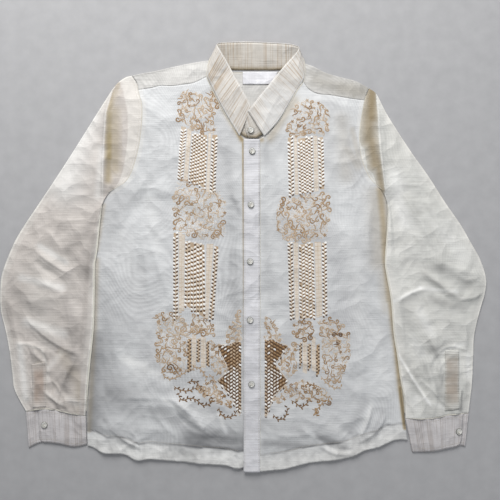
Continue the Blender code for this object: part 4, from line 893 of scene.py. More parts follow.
def watered(tree, uv, colour, base, moire):
    """Pale wavy bands, as sheer layers on each other show."""
    warp = stretched_noise(tree, uv, 5.5, 4.5, 1.0, 0.4, 9.0)
    split = tree.nodes.new("ShaderNodeSeparateXYZ")
    tree.links.new(uv, split.inputs[0])
    lean = plus(tree, times(tree, split.outputs[0], 150.0), times(tree, split.outputs[1], 70.0))
    wave = maths(tree, "SINE", times(tree, plus(tree, times(tree, warp, 52.0), lean), 6.2832))
    patches = stretched_noise(tree, uv, 5.0, 5.0, 1.0, 0.5, 21.0)
    patches = ramp(tree, patches, ((0.42, (0, 0, 0)), (0.6, (1, 1, 1))))
    amount = times(tree, times(tree, plus(tree, wave, 1.0), 0.5 * moire), patches)
    return mixed(tree, amount, colour, tuple(min(1.0, c * 1.22) for c in base))


def layers_and_painted_shading(tree, colour, tan, light):
    """Colour by the point attributes: tone gives tan for layered cloth and painted shade, brown above 1 for
    painted deep shade, pale below 0 for pale seams and painted highlights; painted shading darkens or pales
    it.
    """
    tone = attribute(tree, "tone")
    colour = mixed(tree, maths(tree, "MINIMUM", above_zero(tree, tone), 1.0), colour, tan)
    colour = mixed(tree, above_zero(tree, maths(tree, "SUBTRACT", tone, 1.0)), colour, SHADE_DEEP)
    colour = mixed(tree, above_zero(tree, times(tree, tone, -1.0)), colour, light)
    # Painted shade darkens the colour above 0, painted light pales it below 0.
    painted_shading = attribute(tree, "painted_shading")
    colour = mixed(tree, above_zero(tree, painted_shading), colour, PAINTED_SHADE, "MULTIPLY")
    return mixed(tree, above_zero(tree, times(tree, painted_shading, -1.0)), colour, PAINTED_LIGHT)


def facet_height(tree, uv, scale, seed):
    """Distance inside bent cells, which gives the cloth its soft facets."""
    bend = stretched_noise(tree, uv, 11.0, 11.0, 2.0, 0.5, seed)
    moved = tree.nodes.new("ShaderNodeVectorMath")
    moved.operation = "ADD"
    shift = tree.nodes.new("ShaderNodeCombineXYZ")
    tree.links.new(times(tree, bend, 0.11), shift.inputs[0])
    tree.links.new(times(tree, bend, -0.08), shift.inputs[1])
    tree.links.new(uv, moved.inputs[0])
    tree.links.new(shift.outputs[0], moved.inputs[1])
    cells = tree.nodes.new("ShaderNodeTexVoronoi")
    cells.inputs["Scale"].default_value = scale
    tree.links.new(moved.outputs[0], cells.inputs["Vector"])
    return cells.outputs["Distance"]


def cloth(name, base, deep, tan, moire=0.5, slub_u=0.3, slub_v=0.5, stripes=0.0, stripe_col=(0.5, 0.36, 0.2),
          rough=0.55, sheen=0.25, facets=1.0, light=PALE_SEAM_AND_HIGHLIGHT, stripe_grain=(330.0, 9.0)):
    """Sheer slubbed cloth: base tone, watered bands, slub threads both ways, and layered tone with painted
    shade and painted light from the point attributes.
    """
    mat, tree, shader = blank_material(name)
    uv = node(tree, "ShaderNodeUVMap", uv_map="cloth").outputs["UV"]
    big = stretched_noise(tree, uv, 9.0, 7.0, 3.0, 0.55, 3.0)
    colour = ramp(tree, big, ((0.32, deep), (0.68, base)))
    if moire > 0.0:
        colour = watered(tree, uv, colour, base, moire)
    threads_u = stretched_noise(tree, uv, 14.0, 700.0, 2.0, 0.6, 1.0)
    threads_v = stretched_noise(tree, uv, 700.0, 16.0, 2.0, 0.6, 5.0)
    for threads, amount in ((threads_u, slub_u), (threads_v, slub_v)):
        slubs = ramp(tree, threads, ((0.38, SLUB_DARK), (0.60, (1.0, 1.0, 1.0))))
        colour = mixed(tree, amount, colour, slubs, "MULTIPLY")
    if stripes > 0.0:
        lines = stretched_noise(tree, uv, *stripe_grain, 2.5, 0.65, 13.0)
        mask = ramp(tree, lines, ((0.50, (0, 0, 0)), (0.62, (1, 1, 1))))
        colour = mixed(tree, times(tree, mask, stripes), colour, stripe_col)
    tree.links.new(layers_and_painted_shading(tree, colour, tan, light), shader.inputs["Base Color"])
    shader.inputs["Roughness"].default_value = rough
    shader.inputs["Sheen Weight"].default_value = sheen
    shader.inputs["Sheen Roughness"].default_value = 0.4
    shader.inputs["Specular IOR Level"].default_value = 0.35
    weave = plus(tree, times(tree, threads_u, 0.8), times(tree, threads_v, 0.35))
    crumple = stretched_noise(tree, uv, 60.0, 52.0, 4.0, 0.6, 2.0)
    height = plus(tree, weave, times(tree, crumple, 1.4))
    for scale, depth, seed in ((17.0, 9.0, 1.0), (38.0, 3.4, 6.0)):
        height = plus(tree, height, times(tree, facet_height(tree, uv, scale, seed), depth * facets))
    relief(tree, shader, height, 0.8, 0.0009)
    return mat


M_BODY = cloth("body_cloth", (0.73, 0.742, 0.75), (0.56, 0.565, 0.575), (0.42, 0.34, 0.215),
               0.28, 0.12, 0.05, facets=0.7)
M_PLACKET = cloth("placket_cloth", (0.85, 0.85, 0.885), (0.72, 0.72, 0.755), TAN, 0.0, 0.5, 0.08)
M_YOKE = cloth("yoke_cloth", (0.70, 0.69, 0.67), (0.56, 0.55, 0.53), (0.36, 0.34, 0.30), 0.3, 0.2, 0.1)
# Base and deep colour of each sleeve.
SLEEVE_PAIR = {
    "r": ((0.71, 0.665, 0.63), (0.58, 0.535, 0.50)),
    "l": ((0.78, 0.78, 0.75), (0.64, 0.64, 0.61)),
}
M_SLEEVE = {
    "r": cloth("sleeve_cloth_right", *SLEEVE_PAIR["r"], (0.36, 0.285, 0.15), 0.18, 0.36, 0.05),
    "l": cloth("sleeve_cloth_left", *SLEEVE_PAIR["l"], (0.30, 0.235, 0.14), 0.18, 0.30, 0.05),
}
M_SLIT = {
    "r": cloth("slit_cloth_right", *SLEEVE_PAIR["r"], (0.38, 0.28, 0.22), 0.0, 0.8, 0.1),
    "l": cloth("slit_cloth_left", *SLEEVE_PAIR["l"], (0.42, 0.34, 0.27), 0.0, 1.0, 0.1),
}
M_COLLAR = cloth("collar_cloth", (0.74, 0.71, 0.67), (0.64, 0.61, 0.57), (0.42, 0.33, 0.18),
                 0.0, 0.12, 0.06, 0.75, (0.42, 0.31, 0.20), light=(0.76, 0.765, 0.765),
                 stripe_grain=(430.0, 7.0))
M_STAND = cloth("stand_cloth", (0.72, 0.69, 0.645), (0.60, 0.56, 0.50), (0.30, 0.22, 0.10),
                0.0, 0.12, 0.06, 0.62, (0.42, 0.32, 0.22), stripe_grain=(430.0, 7.0))
M_CUFF = cloth("cuff_cloth", (0.70, 0.675, 0.68), (0.56, 0.54, 0.545), TAN, 0.0, 0.15, 0.1, 0.6,
               (0.38, 0.34, 0.32), stripe_grain=(480.0, 9.0))
M_LABEL = cloth("label_cloth", (0.78, 0.78, 0.82), (0.72, 0.72, 0.76), (0.5, 0.5, 0.5),
                0.0, 0.15, 0.15, 0.0, rough=0.4)


def front_plan(side):
    """Plan grid of a front, from the centre line to the armhole and side, with its strip past the centre."""
    rows = 250
    wide = 124
    arm_share = 0.285
    neck_share = 0.4
    strip_columns = 10
    x_in = STRIP_RIGHT if side == "r" else STRIP_LEFT
    far = STRIP_LEFT if side == "r" else STRIP_RIGHT
    y_top = STRIP_TOP
    k = np.linspace(0, 1, rows + 1)
    start = FRONT_YOKE
    edge = np.where((k <= arm_share)[:, None], ARM[side].at(start + (1 - start) * k / arm_share),
                    SIDE[side].at((k - arm_share) / (1 - arm_share)))
    s = np.linspace(0, 1, wide + 1)
    top = np.where((s <= neck_share)[:, None], Line(NECK_FRONT[side]).at(s / neck_share),
                   YOKE_LINE[side].at((s - neck_share) / 0.6))
    bottom = HEM_LINE[side].at(s)
    inner = np.stack([np.full(rows + 1, x_in), y_top + (bottom[0][1] - y_top) * k], -1)
    top[0] = inner[0]
    bottom[0] = inner[-1]
    plan = coons(top, bottom, inner, edge)
    xs = np.linspace(far, x_in, strip_columns + 1)[:-1]
    strip = np.stack([np.repeat(xs[None], rows + 1, 0), np.repeat(inner[:, 1:2], strip_columns, 1)], -1)
    plan = np.concatenate([strip, plan], 1)
    return plan[:, ::-1] if side == "r" else plan


def front_shell(side):
    """One front: its folds, the doubled hem, and the left one lying over the right one."""
    plan = front_plan(side)
    x, y = plan[..., 0], plan[..., 1]
    over = step((x - STRIP_RIGHT + 12.0) / 10.0) * (1.0 - step((x - STRIP_LEFT - 4.0) / 14.0))
    to_hem = HEM_LINE[side].gap_to(x, y)
    hem_gap = to_hem + 3.2 * ripple(x, y, 36.0, 5.5) + 1.2 * ripple(x, y, 12.0, 2.5)
    turned = 1.0 - step((hem_gap - HEM_SEEN) / 3.0)
    pucker = turned * (0.9 * ripple(x * 1.5, y * 0.5, 12.0, 8.8) + 0.5 * ripple(x, y, 7.0, 3.2, True))
    groove_shade = np.exp(-((hem_gap - HEM_SEEN - 1.8) / 2.0) ** 2)
    z = LAYER + WALL + body_lift(x, y) + HEM_EXTRA * turned + pucker
    if side == "l":
        z = z + over * (LAYER + HEM_EXTRA * turned)
    grid = np.stack([x, y, z], -1)
    tone = tone_of(BODY_LAYERS_AND_SHADE, x, y)
    ragged = 4.0 * ripple(x, y, 22.0, 6.6)
    light = 0.42 * turned * (1.0 - 0.45 * step((to_hem - 2.0 + ragged) / HEM_SEEN))
    light = np.maximum(light, 0.3 * (1.0 - step((ARM[side].gap_to(x, y) - 6.0) / 3.0)))
    tone = np.where(tone > 0.12, tone, tone - light)
    # Painted shade in the groove above the hem's turn-up, and mottled painted shade and painted light over
    # the turn-up.
    mottled = 0.08 + 0.34 * ripple(x * 1.4, y * 0.6, 15.0, 1.9)
    painted_shading = painted_shading_of(PAINTED_SHADING["body"], x, y) * (1.0 - 0.85 * turned) + 0.6 * groove_shade - 0.1 * turned
    painted_shading = painted_shading + turned * mottled
    obj = shell("cloth_front_" + WORD[side], grid, plan, tone, M_BODY, painted_shading=painted_shading)
    finish(obj, "front_" + WORD[side])
    return grid


def finish(obj, cad):
    """Fix a piece to the body, in place of its CAD node."""
    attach(obj, "root")
    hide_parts(cad)


def build_placket(front):
    """The strip follows the left front's own points, moved out."""
    columns = 11
    g = front[:, :columns].copy()
    g[..., 2] += GAP + WALL
    g[:, 0, 0] -= 0.4
    g[:, -1, 0] += 0.2
    g[-1, :, 1] -= 1.5
    g[:, (0, -1), 2] -= 0.35
    obj = shell("cloth_placket", g, g[..., :2], np.zeros(g.shape[:2]), M_PLACKET, thick=WALL)
    finish(obj, "front_placket")


def build_back():
    """The panel under all others, flat on the surface below the back yoke seam."""
    rows = 60
    wide = 60
    arm_share = 0.25
    k = np.linspace(0, 1, rows + 1)
    start = BACK_YOKE
    edges = {}
    for side in ("r", "l"):
        arm = ARM[side].at(start + (1 - start) * k / arm_share)
        below = SIDE[side].at((k - arm_share) / (1 - arm_share))
        edges[side] = np.where((k <= arm_share)[:, None], arm, below)
    s = np.linspace(0, 1, wide + 1)
    top = edges["r"][0] + (edges["l"][0] - edges["r"][0]) * s[:, None]
    hem = Line(tuple(reversed(HEM["r"])) + HEM["l"]).at(s)
    hem[:, 1] += 2.0 * np.sin(np.pi * s)
    hem[0] = edges["r"][-1]
    hem[-1] = edges["l"][-1]
    plan = coons(top, hem, edges["r"], edges["l"])
    grid = np.concatenate([plan, np.full(plan.shape[:2] + (1,), SKIN + 0.5)], -1)
    low = grid.copy()
    low[..., 2] = 0.0
    obj = shell("cloth_back", grid, plan, np.zeros(plan.shape[:2]), M_BODY, low=low)
    finish(obj, "back")


def build_yoke():
    """Lower plate under the shoulders, shoulder folds and the two front wings."""
    wing = 44
    neck_cols = 40
    plate_rows = 20
    wing_rows = 14
    near_arm = 8
    neck = Line(NECK_BACK)
    tops = np.vstack([SHOULDER_LINE["r"].at(np.linspace(1, 0, wing + 1)),
                      neck.at(np.linspace(0, 1, neck_cols + 1))[1:-1],
                      SHOULDER_LINE["l"].at(np.linspace(0, 1, wing + 1))])
    cols = len(tops)
    is_neck = np.zeros(cols, bool)
    is_neck[wing + 1:wing + neck_cols] = True
    limit = BACK_YOKE
    low_r = ARM["r"].at(limit)
    low_l = ARM["l"].at(limit)
    s = (tops[:, 0] - tops[0, 0]) / (tops[-1, 0] - tops[0, 0])
    rows = []
    for i in range(plate_rows, 0, -1):
        t = i / plate_rows
        low = low_r + (low_l - low_r) * s[:, None]
        p = tops + (low - tops) * t
        # bent at both ends to follow the armholes
        for side, w, low_p, top_p in (("r", (1 - s) ** 3, low_r, tops[0]), ("l", s ** 3, low_l, tops[-1])):
            p = p + (ARM[side].at(limit * t) - (top_p + (low_p - top_p) * t)) * w[:, None]
        rows.append(np.column_stack([p, np.full(cols, SKIN + 0.5)]))
    bottoms = [r.copy() for r in rows]
    for r in bottoms:
        r[:, 2] = 0.0
    inner_skin = rows
    outer_skin = bottoms
    # rounded shoulder fold, outer skin then inner skin
    for ang in np.linspace(0, math.pi, 7):
        out_off = -EDGE_ROUND * (1 - math.sin(ang))
        z_out = (LAYER + WALL) * 0.5 * (1 - math.cos(ang))
        z_in = (LAYER + WALL) * 0.5 - ((LAYER + WALL) * 0.5 - SKIN) * math.cos(ang)
        outer = np.column_stack([tops + np.array([0.0, out_off]), np.full(cols, z_out)])
        inner = np.column_stack([tops + np.array([0.0, out_off - SKIN]), np.full(cols, z_in)])
        if ang == 0:
            outer[:, 2] = 0.0
        outer_skin.append(outer)
        inner_skin.append(inner)
    for i in range(1, wing_rows + 1):
        t = i / wing_rows
        seam_r = YOKE_LINE["r"].at(np.linspace(1, 0, wing + 1))
        seam_l = YOKE_LINE["l"].at(np.linspace(0, 1, wing + 1))
        p = tops.copy()
        p[:wing + 1] += (seam_r - p[:wing + 1]) * t
        p[-wing - 1:] += (seam_l - p[-wing - 1:]) * t
        for side, span in (("r", slice(0, near_arm)), ("l", slice(cols - near_arm, cols))):
            n = np.linspace(1, 0, near_arm) if side == "r" else np.linspace(0, 1, near_arm)
            end = tops[0] if side == "r" else tops[-1]
            goal = ARM[side].at(FRONT_YOKE)
            line = end + (goal - end) * t
            p[span] += (ARM[side].at(FRONT_YOKE * t) - line) * n[:, None]
        z = LAYER + WALL + body_lift(p[:, 0], p[:, 1])
        z = z - 0.5 * (1 - step(np.array(t * 3.0)))
        z = z + 0.25 * math.sin(math.pi * t) * ripple(p[:, 0], p[:, 1], 14.0, 3.3, True)
        outer_skin.append(np.column_stack([p, z]))
        inner_skin.append(np.column_stack([p, z - SKIN]))
    inner_skin = np.array(inner_skin)
    outer_skin = np.array(outer_skin)
    present = np.ones(inner_skin.shape[:2], bool)
    present[plate_rows + 1:, is_neck] = False
    tone = tone_of(YOKE_LAYERS_AND_SHADE, inner_skin[..., 0], inner_skin[..., 1])
    tone[:plate_rows] *= 0.9
    obj = shell("cloth_yoke", outer_skin, inner_skin[..., :2], tone, M_YOKE, low=inner_skin, present=present)
    finish(obj, "yoke")


def sleeve_plan(side, row, s):
    """Plan point of a sleeve section: row 0 is the armhole, row 1 the cuff seam."""
    head = 0.16
    outer = OUTER[side].at(row ** 0.92)
    inner = INNER[side].at(step(row) * 0.35 + row * 0.65)
    p = outer + (inner - outer) * s[..., None]
    if row < head:
        a = ARM[side].at(s)
        chord = ARM[side].at(0.0) + (ARM[side].at(1.0) - ARM[side].at(0.0)) * s[..., None]
        p = p + (a - chord) * (1.0 - row / head) ** 1.6
    if row > 0.84:
        line = CUFF_TOP[side]
        chord = line.at(0.0) + (line.at(1.0) - line.at(0.0)) * s[..., None]
        p = p + (line.at(s) - chord) * ((row - 0.84) / 0.16) ** 2
    return p


def sleeve_surface(side, row, s):
    """Plan point, base height, upper-layer top height and width of a sleeve section."""
    p = sleeve_plan(side, row, s)
    ends = sleeve_plan(side, row, np.array([0.0, 1.0]))
    width = float(np.linalg.norm(ends[1] - ends[0]))
    x, y = p[..., 0], p[..., 1]
    reach = float(step((row - 0.03) / 0.12) * (1.0 - step((row - 0.82) / 0.13)))
    away = (1.0 - s) * width
    base = SLEEVE_RISE * reach * (1.0 - step((away - 11.0) / 16.0))
    near = np.minimum(s, 1.0 - s) * width
    wave = 0.5 * np.sin(y * 0.024 + x * 0.013 + 1.0) * np.sin(x * 0.031)
    edge = step((near - 2.0) / 20.0)
    own = np.maximum(0.05, BASE_LIFT + 0.4 + wave + folds(SLEEVE_FOLDS[side], x, y)) * edge
    soft = creases(SLEEVE_CREASES[side], x, y)
    soft = soft * 1.7 + 1.35 * ripple(x, y * 0.8, 56.0, 2.9, True) + 0.22 * ripple(x, y, 15.0, 7.7, True)
    gather = step(np.array((row - 0.9) / 0.1)) * 0.9 * np.sin(s * 34.0 + np.sin(s * 11.0) * 1.3)
    join = float(step(np.array(row / 0.09)))
    own = np.maximum(own + (soft + gather) * (0.1 + 0.9 * edge), 0.0)
    lift = own * join + np.maximum(0.05, body_lift(x, y)) * (1.0 - join)
    return p, base, base + LAYER + WALL + lift, width


def sleeve_tone(side, x, y, row, first_top, rim):
    """Tone round one ring: painted shade in the folded sleeve head's valley, a painted highlight on its
    ridge, painted highlights on paler stretches, and the pale seam at both edges.
    """
    t = tone_of(SLEEVE_LAYERS_AND_SHADE[side], x, y)
    ridge = np.array(HEAD_RIDGE[side])
    beyond = (x - np.interp(-y, -ridge[:, 1], ridge[:, 0])) * SIGN[side]
    high = step((y - ridge[-1, 1] + 20.0) / 20.0)
    # The painted shade of the head's valley stops at the ridge.
    t = t * (1.0 - high * (1.0 - step((beyond + 0.6) / 2.2)))
    t = np.where(t > 0.12, t, t - tone_of(SLEEVE_PAINTED_LIGHT[side], x, y) * 0.5)
    # Painted highlight along the ridge.
    t = t - 0.55 * high * np.exp(-(beyond / 1.7) ** 2)
    t[:first_top] = 0.1
    seam = 0.75 * (1.0 - step((rim - 2.0) / 2.5)) + 0.22 * (1.0 - step((rim - 11.0) / 3.0))
    if row < 0.03:
        seam = np.maximum(seam, 0.5)
    upper = t[first_top:]
    t[first_top:] = np.where(upper > 0.3, upper, np.minimum(upper, np.maximum(upper - seam, -0.85)))
    return t


def build_sleeve(side):
    """A flat tube of rings from the armhole to the cuff seam, with a fine upper and a coarse lower side."""
    rings = 240
    fine = 84
    coarse = 18
    top_s = np.linspace(0, 1, fine)
    top_s = 0.5 - 0.5 * np.cos(np.pi * top_s) * 0.25 - 0.75 * (0.5 - top_s)
    top_s = (top_s - top_s[0]) / (top_s[-1] - top_s[0])
    bottom_s = np.linspace(0, 1, coarse)
    outer = []
    inner = []
    uv = []
    tone = []
    painted_shading = []
    for i in range(rings + 1):
        row = i / rings
        row = row * 0.8 + row * row * 0.2
        ends = sleeve_plan(side, row, np.array([0.0, 1.0]))
        width = float(np.linalg.norm(ends[1] - ends[0]))
        e = EDGE_ROUND / width
        ss = np.concatenate([e + (1 - 2 * e) * bottom_s, e + (1 - 2 * e) * top_s[::-1]])
        p, base, top, width = sleeve_surface(side, row, ss)
        z_out = base.copy()
        z_out[coarse:] = top[coarse:]
        z_in = base + SKIN
        z_in[coarse:] = top[coarse:] - SKIN
        ring_o = np.column_stack([p, z_out])
        ring_i = np.column_stack([p, z_in])
        rims = []
        for s_edge, a, b in ((1.0, coarse - 1, coarse), (0.0, len(ss) - 1, 0)):
            q = sleeve_plan(side, row, np.array([s_edge]))[0]
            middle = 0.5 * (ring_o[a, 2] + ring_o[b, 2])
            inward = (ring_o[a, :2] + ring_o[b, :2]) * 0.5 - q
            inward = inward / (np.linalg.norm(inward) + 1e-9)
            rims.append(((*q, middle), (*(q + inward * SKIN), middle)))
        ring_o = np.vstack([ring_o[:coarse], rims[0][0], ring_o[coarse:], rims[1][0]])
        ring_i = np.vstack([ring_i[:coarse], rims[0][1], ring_i[coarse:], rims[1][1]])
        s_all = np.concatenate([ss[:coarse], [1.0], ss[coarse:], [0.0]])
        x, y = ring_o[:, 0].copy(), ring_o[:, 1].copy()
        uv.append(np.column_stack([x, y]))
        rim = np.minimum(s_all, 1.0 - s_all)[coarse:] * width
        tone.append(sleeve_tone(side, x, y, row, coarse, rim))
        painted_shading.append(painted_shading_of(PAINTED_SHADING[side], x, y))
        if i == 0:
            ring_o[:, 0] -= SIGN[side] * GAP
            ring_i[:, 0] -= SIGN[side] * GAP
        outer.append(ring_o)
        inner.append(ring_i)
    obj = shell("cloth_sleeve_" + WORD[side], outer, uv, tone, M_SLEEVE[side], wrap=True, low=inner,
                painted_shading=painted_shading)
    finish(obj, "sleeve_" + WORD[side])


def cuff_path(side, width):
    """Way round the cuff: outer and inner share of its width, outer and inner height."""
    lap = CUFF[side]["lap"]
    under = CUFF[side]["under"]
    e = EDGE_ROUND / width
    w = SKIN / width * 2.0
    top = LAYER + WALL
    path = []
    for f in np.linspace(lap, 1 - e, 30):
        z = 2 * LAYER + WALL - float(step((f - 0.45) / 0.5)) * LAYER
        path.append((f, f, z, z - WALL * 0.8))
    for ang in np.linspace(0.25, 0.75, 3) * math.pi:
        f = 1 - e * (1 - math.sin(ang))
        path.append((f, f - w, top * 0.5 * (1 + math.cos(ang)), top * 0.5 * (1 + 0.6 * math.cos(ang))))
    for f in np.linspace(1 - e, e, 12):
        path.append((f, min(max(f, e + w * 0.5), 1 - e - w * 0.5), 0.0, SKIN))
    for ang in np.linspace(0.25, 0.75, 3) * math.pi:
        f = e * (1 - math.sin(ang))
        path.append((f, f + w, top * 0.5 * (1 - math.cos(ang)), top * 0.5 * (1 - 0.6 * math.cos(ang))))
    for f in np.linspace(e, under, 12):
        path.append((f, max(f, e + w * 0.5), top, top - WALL * 0.8))
    return path


def build_cuff(side):
    """Buttoned band: the outer lap with rounded corners, round the wrist, to the lap under it."""
    width = CUFF_TOP[side].length
    path = cuff_path(side, width)
    vs = np.linspace(0, 1, 21)
    corner = 4
    outer = []
    inner = []
    uv = []
    for n, (fo, fi, zo, zi) in enumerate(path):
        col_o = []
        col_i = []
        for v in vs:
            near_end = max(0.0, (v - 0.8) / 0.2)
            cut = (1 - math.sqrt(max(0.0, 1 - near_end ** 2))) * 0.075 * max(0, corner - n) / corner
            sag = 0.35 * math.sin(v * math.pi) if zo > 1.0 else 0.0
            edge = 0.3 * (1 - min(1.0, min(v, 1 - v) * 14)) if zo > 1.0 else 0.0
            for f, z, col in ((fo, zo, col_o), (fi, zi, col_i)):
                p = CUFF_TOP[side].at(f + cut) * (1 - v) + CUFF_END[side].at(f + cut) * v
                wob = 0.25 * noise.noise((p[0] / 16.0, p[1] / 16.0, 4.0)) if zo > 1.0 else 0.0
                col.append((p[0], p[1], z + sag - edge + wob))
        outer.append(col_o)
        inner.append(col_i)
        uv.append([(fo * width, v * 60.0) for v in vs])
    obj = shell("cloth_cuff_" + WORD[side], outer, uv, np.zeros((len(path), len(vs))), M_CUFF, low=inner)
    finish(obj, "cuff_" + WORD[side])


# Shares of the way up the stand and down the leaf.
STAND_STEPS = np.linspace(0, 1, 14)
FALL_STEPS = np.linspace(0, 1, 22) ** 1.15


def towards_neck(neck, fold):
    """Level direction from the fold line to the neck seam."""
    return Vector((neck.x - fold.x, neck.y - fold.y, 0.0)).normalized()


def stand_line(neck, fold, roll, u):
    """Up the stand, from the neck seam to just inside the fold."""
    top = fold + towards_neck(neck, fold) * 1.0
    top.z = fold.z - 1.0
    bend = (neck + top) * 0.5 + Vector((0.0, 0.0, 0.3)) * (1.0 - roll)
    line = []
    for k in STAND_STEPS:
        p = neck * (1 - k) ** 2 + bend * 2 * k * (1 - k) + top * k * k
        p.z += 0.3 * noise.noise((u / 17.0, k * 2.0, 2.0)) * math.sin(math.pi * k)
        line.append(tuple(p))
    return line


def fall_line(neck, fold, edge, roll, u):
    """Over the fold and down the turned-down leaf to its free edge."""
    over = (fold + edge) * 0.5 + Vector((0.0, 0.0, 2.6))
    back = Vector((fold.x, fold.y + 6.0, 0.9))
    ctrl = over.lerp(back, roll)
    inward = -towards_neck(neck, fold) * (1.0 - 2.0 * roll)
    line = [fold + inward * 0.8 - Vector((0, 0, 1.2)), fold + inward * 0.7 - Vector((0, 0, 0.5))]
    for k in FALL_STEPS:
        p = fold * (1 - k) ** 2 + ctrl * 2 * k * (1 - k) + edge * k * k
        crumple = noise.noise((u / 26.0, k * 1.7, 6.0)) * math.sin(math.pi * min(1.0, k * 1.2))
        p.z += (1 - roll) * 0.5 * crumple
        p.z -= (1 - roll) * 0.8 * max(0.0, (k - 0.72) / 0.28) ** 2
        p.z = max(p.z, 0.62)
        line.append(p)
    return [tuple(p) for p in line]


def collar_sides(g, thick):
    """Upper and lower points of a collar grid."""
    n = np.cross(np.gradient(g, axis=0), np.gradient(g, axis=1))
    n /= np.linalg.norm(n, axis=-1, keepdims=True) + 1e-9
    low = g - n * thick * 0.5
    low[..., 2] = np.maximum(low[..., 2], 0.02)
    return g + n * thick * 0.5, low


def build_stand(lines, uv):
    """The band at the neck, with painted shade browning it along its seam."""
    g = np.array(lines)
    up, low = collar_sides(g, 0.9)
    tone = 0.75 * (1 - step(np.linspace(0, 1, g.shape[1]) / 0.2))[None] + np.zeros(g.shape[:2])
    obj = shell("cloth_collar_stand", up, uv, tone, M_STAND, low=low, painted_shading=np.zeros(g.shape[:2]))
    finish(obj, "collar_stand")


def build_fall(lines, uv):
    """The turned-down leaf, paler on the wearer's left, with painted light at its free edge and on the strip
    just inside the fold.
    """
    g = np.array(lines)
    up, low = collar_sides(g, 0.8)
    tone = -0.62 * step((g[..., 0] - 18.0) / 30.0) * step((352.0 - g[..., 1]) / 60.0)
    # Painted light along the free edge.
    tone = tone - 0.5 * step((np.linspace(0, 1, g.shape[1]) - 0.93) / 0.03)[None] * (tone > -0.3)
    painted_shading = np.zeros(g.shape[:2])
    # Painted light on the strip just inside the fold, which lies in shade.
    painted_shading[:, :4] = -0.32
    low[:, -1, :2] = up[:, -1, :2] + (low[:, -2, :2] - low[:, -1, :2]) * 0.3
    obj = shell("cloth_collar_fall", up, uv, tone, M_COLLAR, low=low, painted_shading=painted_shading)
    finish(obj, "collar_fall")


def build_collar():
    """The band at the neck with its rounded end, and the pointed leaf that turns down over it."""
    rows = smooth_line(COLLAR, 6)
    run = np.concatenate([[0.0], np.cumsum(np.linalg.norm(np.diff(rows[:, 3:5], axis=0), axis=1))])
    stand = []
    stand_uv = []
    fall = []
    fall_uv = []
    for row, u in zip(rows, run):
        neck = Vector(row[0:3])
        fold = Vector(row[3:6])
        edge = Vector(row[6:9])
        roll = min(1.0, max(0.0, row[9]))
        stand.append(stand_line(neck, fold, roll, u))
        stand_uv.append([(u, k * 36.0) for k in STAND_STEPS])
        fall.append(fall_line(neck, fold, edge, roll, u))
        long = (edge - fold).length
        fall_uv.append([(u, -1.7), (u, -0.7)] + [(u, k * long) for k in FALL_STEPS])
    low_end = Vector(STAND_END[:3])
    high_end = Vector(STAND_END[3:])
    last = stand[-1]
    for grow in (0.5, 1.0):
        line = []
        for k in STAND_STEPS:
            end = low_end.lerp(high_end, k) + Vector((-3.0, 0.0, 0.0)) * math.sin(math.pi * k) ** 0.6
            line.append(tuple(Vector(last[int(k * 13 + 0.5)]).lerp(end, grow)))
        stand.append(line)
        stand_uv.append([(run[-1] + 12.0 * grow, k * 36.0) for k in STAND_STEPS])
    build_stand(stand, stand_uv)
    build_fall(fall, fall_uv)


def caster(name, missed=3.0):
    """Reader of a finished piece's top height in mm at a plan point."""
    obj = bpy.data.objects[name]

    def read(x, y):
        hit, where = obj.ray_cast(Vector((x, y, CAST_FROM)) * SCALE, Vector((0, 0, -1)))[:2]
        return where[2] / SCALE if hit else missed
    return read


def build_label():
    """The small tab inside the neck, blank."""
    (x0, y1), (x1, y0) = LABEL
    x, y = np.meshgrid(np.linspace(x0, x1, 40), np.linspace(y1, y0, 18))
    z = WALL + GAP + LABEL_THICK + 0.25 + 0.3 * np.sin(x * 0.13) * np.sin((y - y0) * 0.11)
    z = z + 0.15 * ripple(x, y, 12.0, 4.4)
    rim = np.minimum(np.minimum(x - x0, x1 - x), np.minimum(y - y0, y1 - y))
    z = z - 0.25 * (1 - step(rim / 1.2))
    grid = np.stack([x, y, z], -1)
    obj = shell("label_blank", grid, grid[..., :2], np.zeros(x.shape), M_LABEL, thick=0.5)
    finish(obj, "label")


def build_sleeve_placket(side):
    """The strip at the sleeve's slit above the cuff, lying on the finished sleeve."""
    a, b, c, d = (np.array(p) for p in SLEEVE_PLACKET[side])
    read = caster("cloth_sleeve_" + WORD[side], LAYER + WALL)
    long = 40
    wide = 12
    grid = []
    for i in range(long + 1):
        v = i / long
        row = []
        for j in range(wide + 1):
            s = j / wide
            p = (a + (b - a) * s) * (1 - v) + (c + (d - c) * s) * v
            rim = min(s, 1 - s, v * 3) * 12
            row.append((p[0], p[1], read(p[0], p[1]) + 0.35 + 0.45 * min(1.0, rim)))
        grid.append(row)
    g = np.array(grid)
    u = np.linspace(0, 1, wide + 1)[None]
    v = np.linspace(0, 1, long + 1)[:, None]
    rim = step(np.minimum(u, 1 - u) * 4.0 + (0.25 if side == "l" else 0.0))
    rim = rim * step(v * 4.0) * step((1.0 - v) * 4.0)
    tone = (0.55 + 0.25 * ripple(g[..., 0], g[..., 1], 16.0, 2.2)) * rim
    obj = shell("cloth_sleeve_placket_" + WORD[side], g, g[..., :2], tone, M_SLIT[side], thick=0.5)
    finish(obj, "sleeve_placket_" + WORD[side])


PEARL_STOPS = ((0.3, (0.62, 0.62, 0.58)), (0.5, (0.88, 0.87, 0.83)), (0.7, (0.96, 0.96, 0.95)))


def pearl():
    """Pale swirled shell, with painted shade where the tone is high."""
    mat, tree, shader = blank_material("button_pearl")
    pos = node(tree, "ShaderNodeTexCoord").outputs["Object"]
    swirl = stretched_noise(tree, pos, 260.0, 420.0, 3.0, 0.6, 2.0)
    colour = ramp(tree, swirl, PEARL_STOPS)
    colour = mixed(tree, attribute(tree, "tone"), colour, (0.10, 0.10, 0.075))
    tree.links.new(colour, shader.inputs["Base Color"])
    shader.inputs["Roughness"].default_value = 0.16
    shader.inputs["Coat Weight"].default_value = 0.6
    shader.inputs["Coat Roughness"].default_value = 0.08
    shader.inputs["Sheen Weight"].default_value = 0.2
    relief(tree, shader, swirl, 0.15, 0.0003)
    return mat


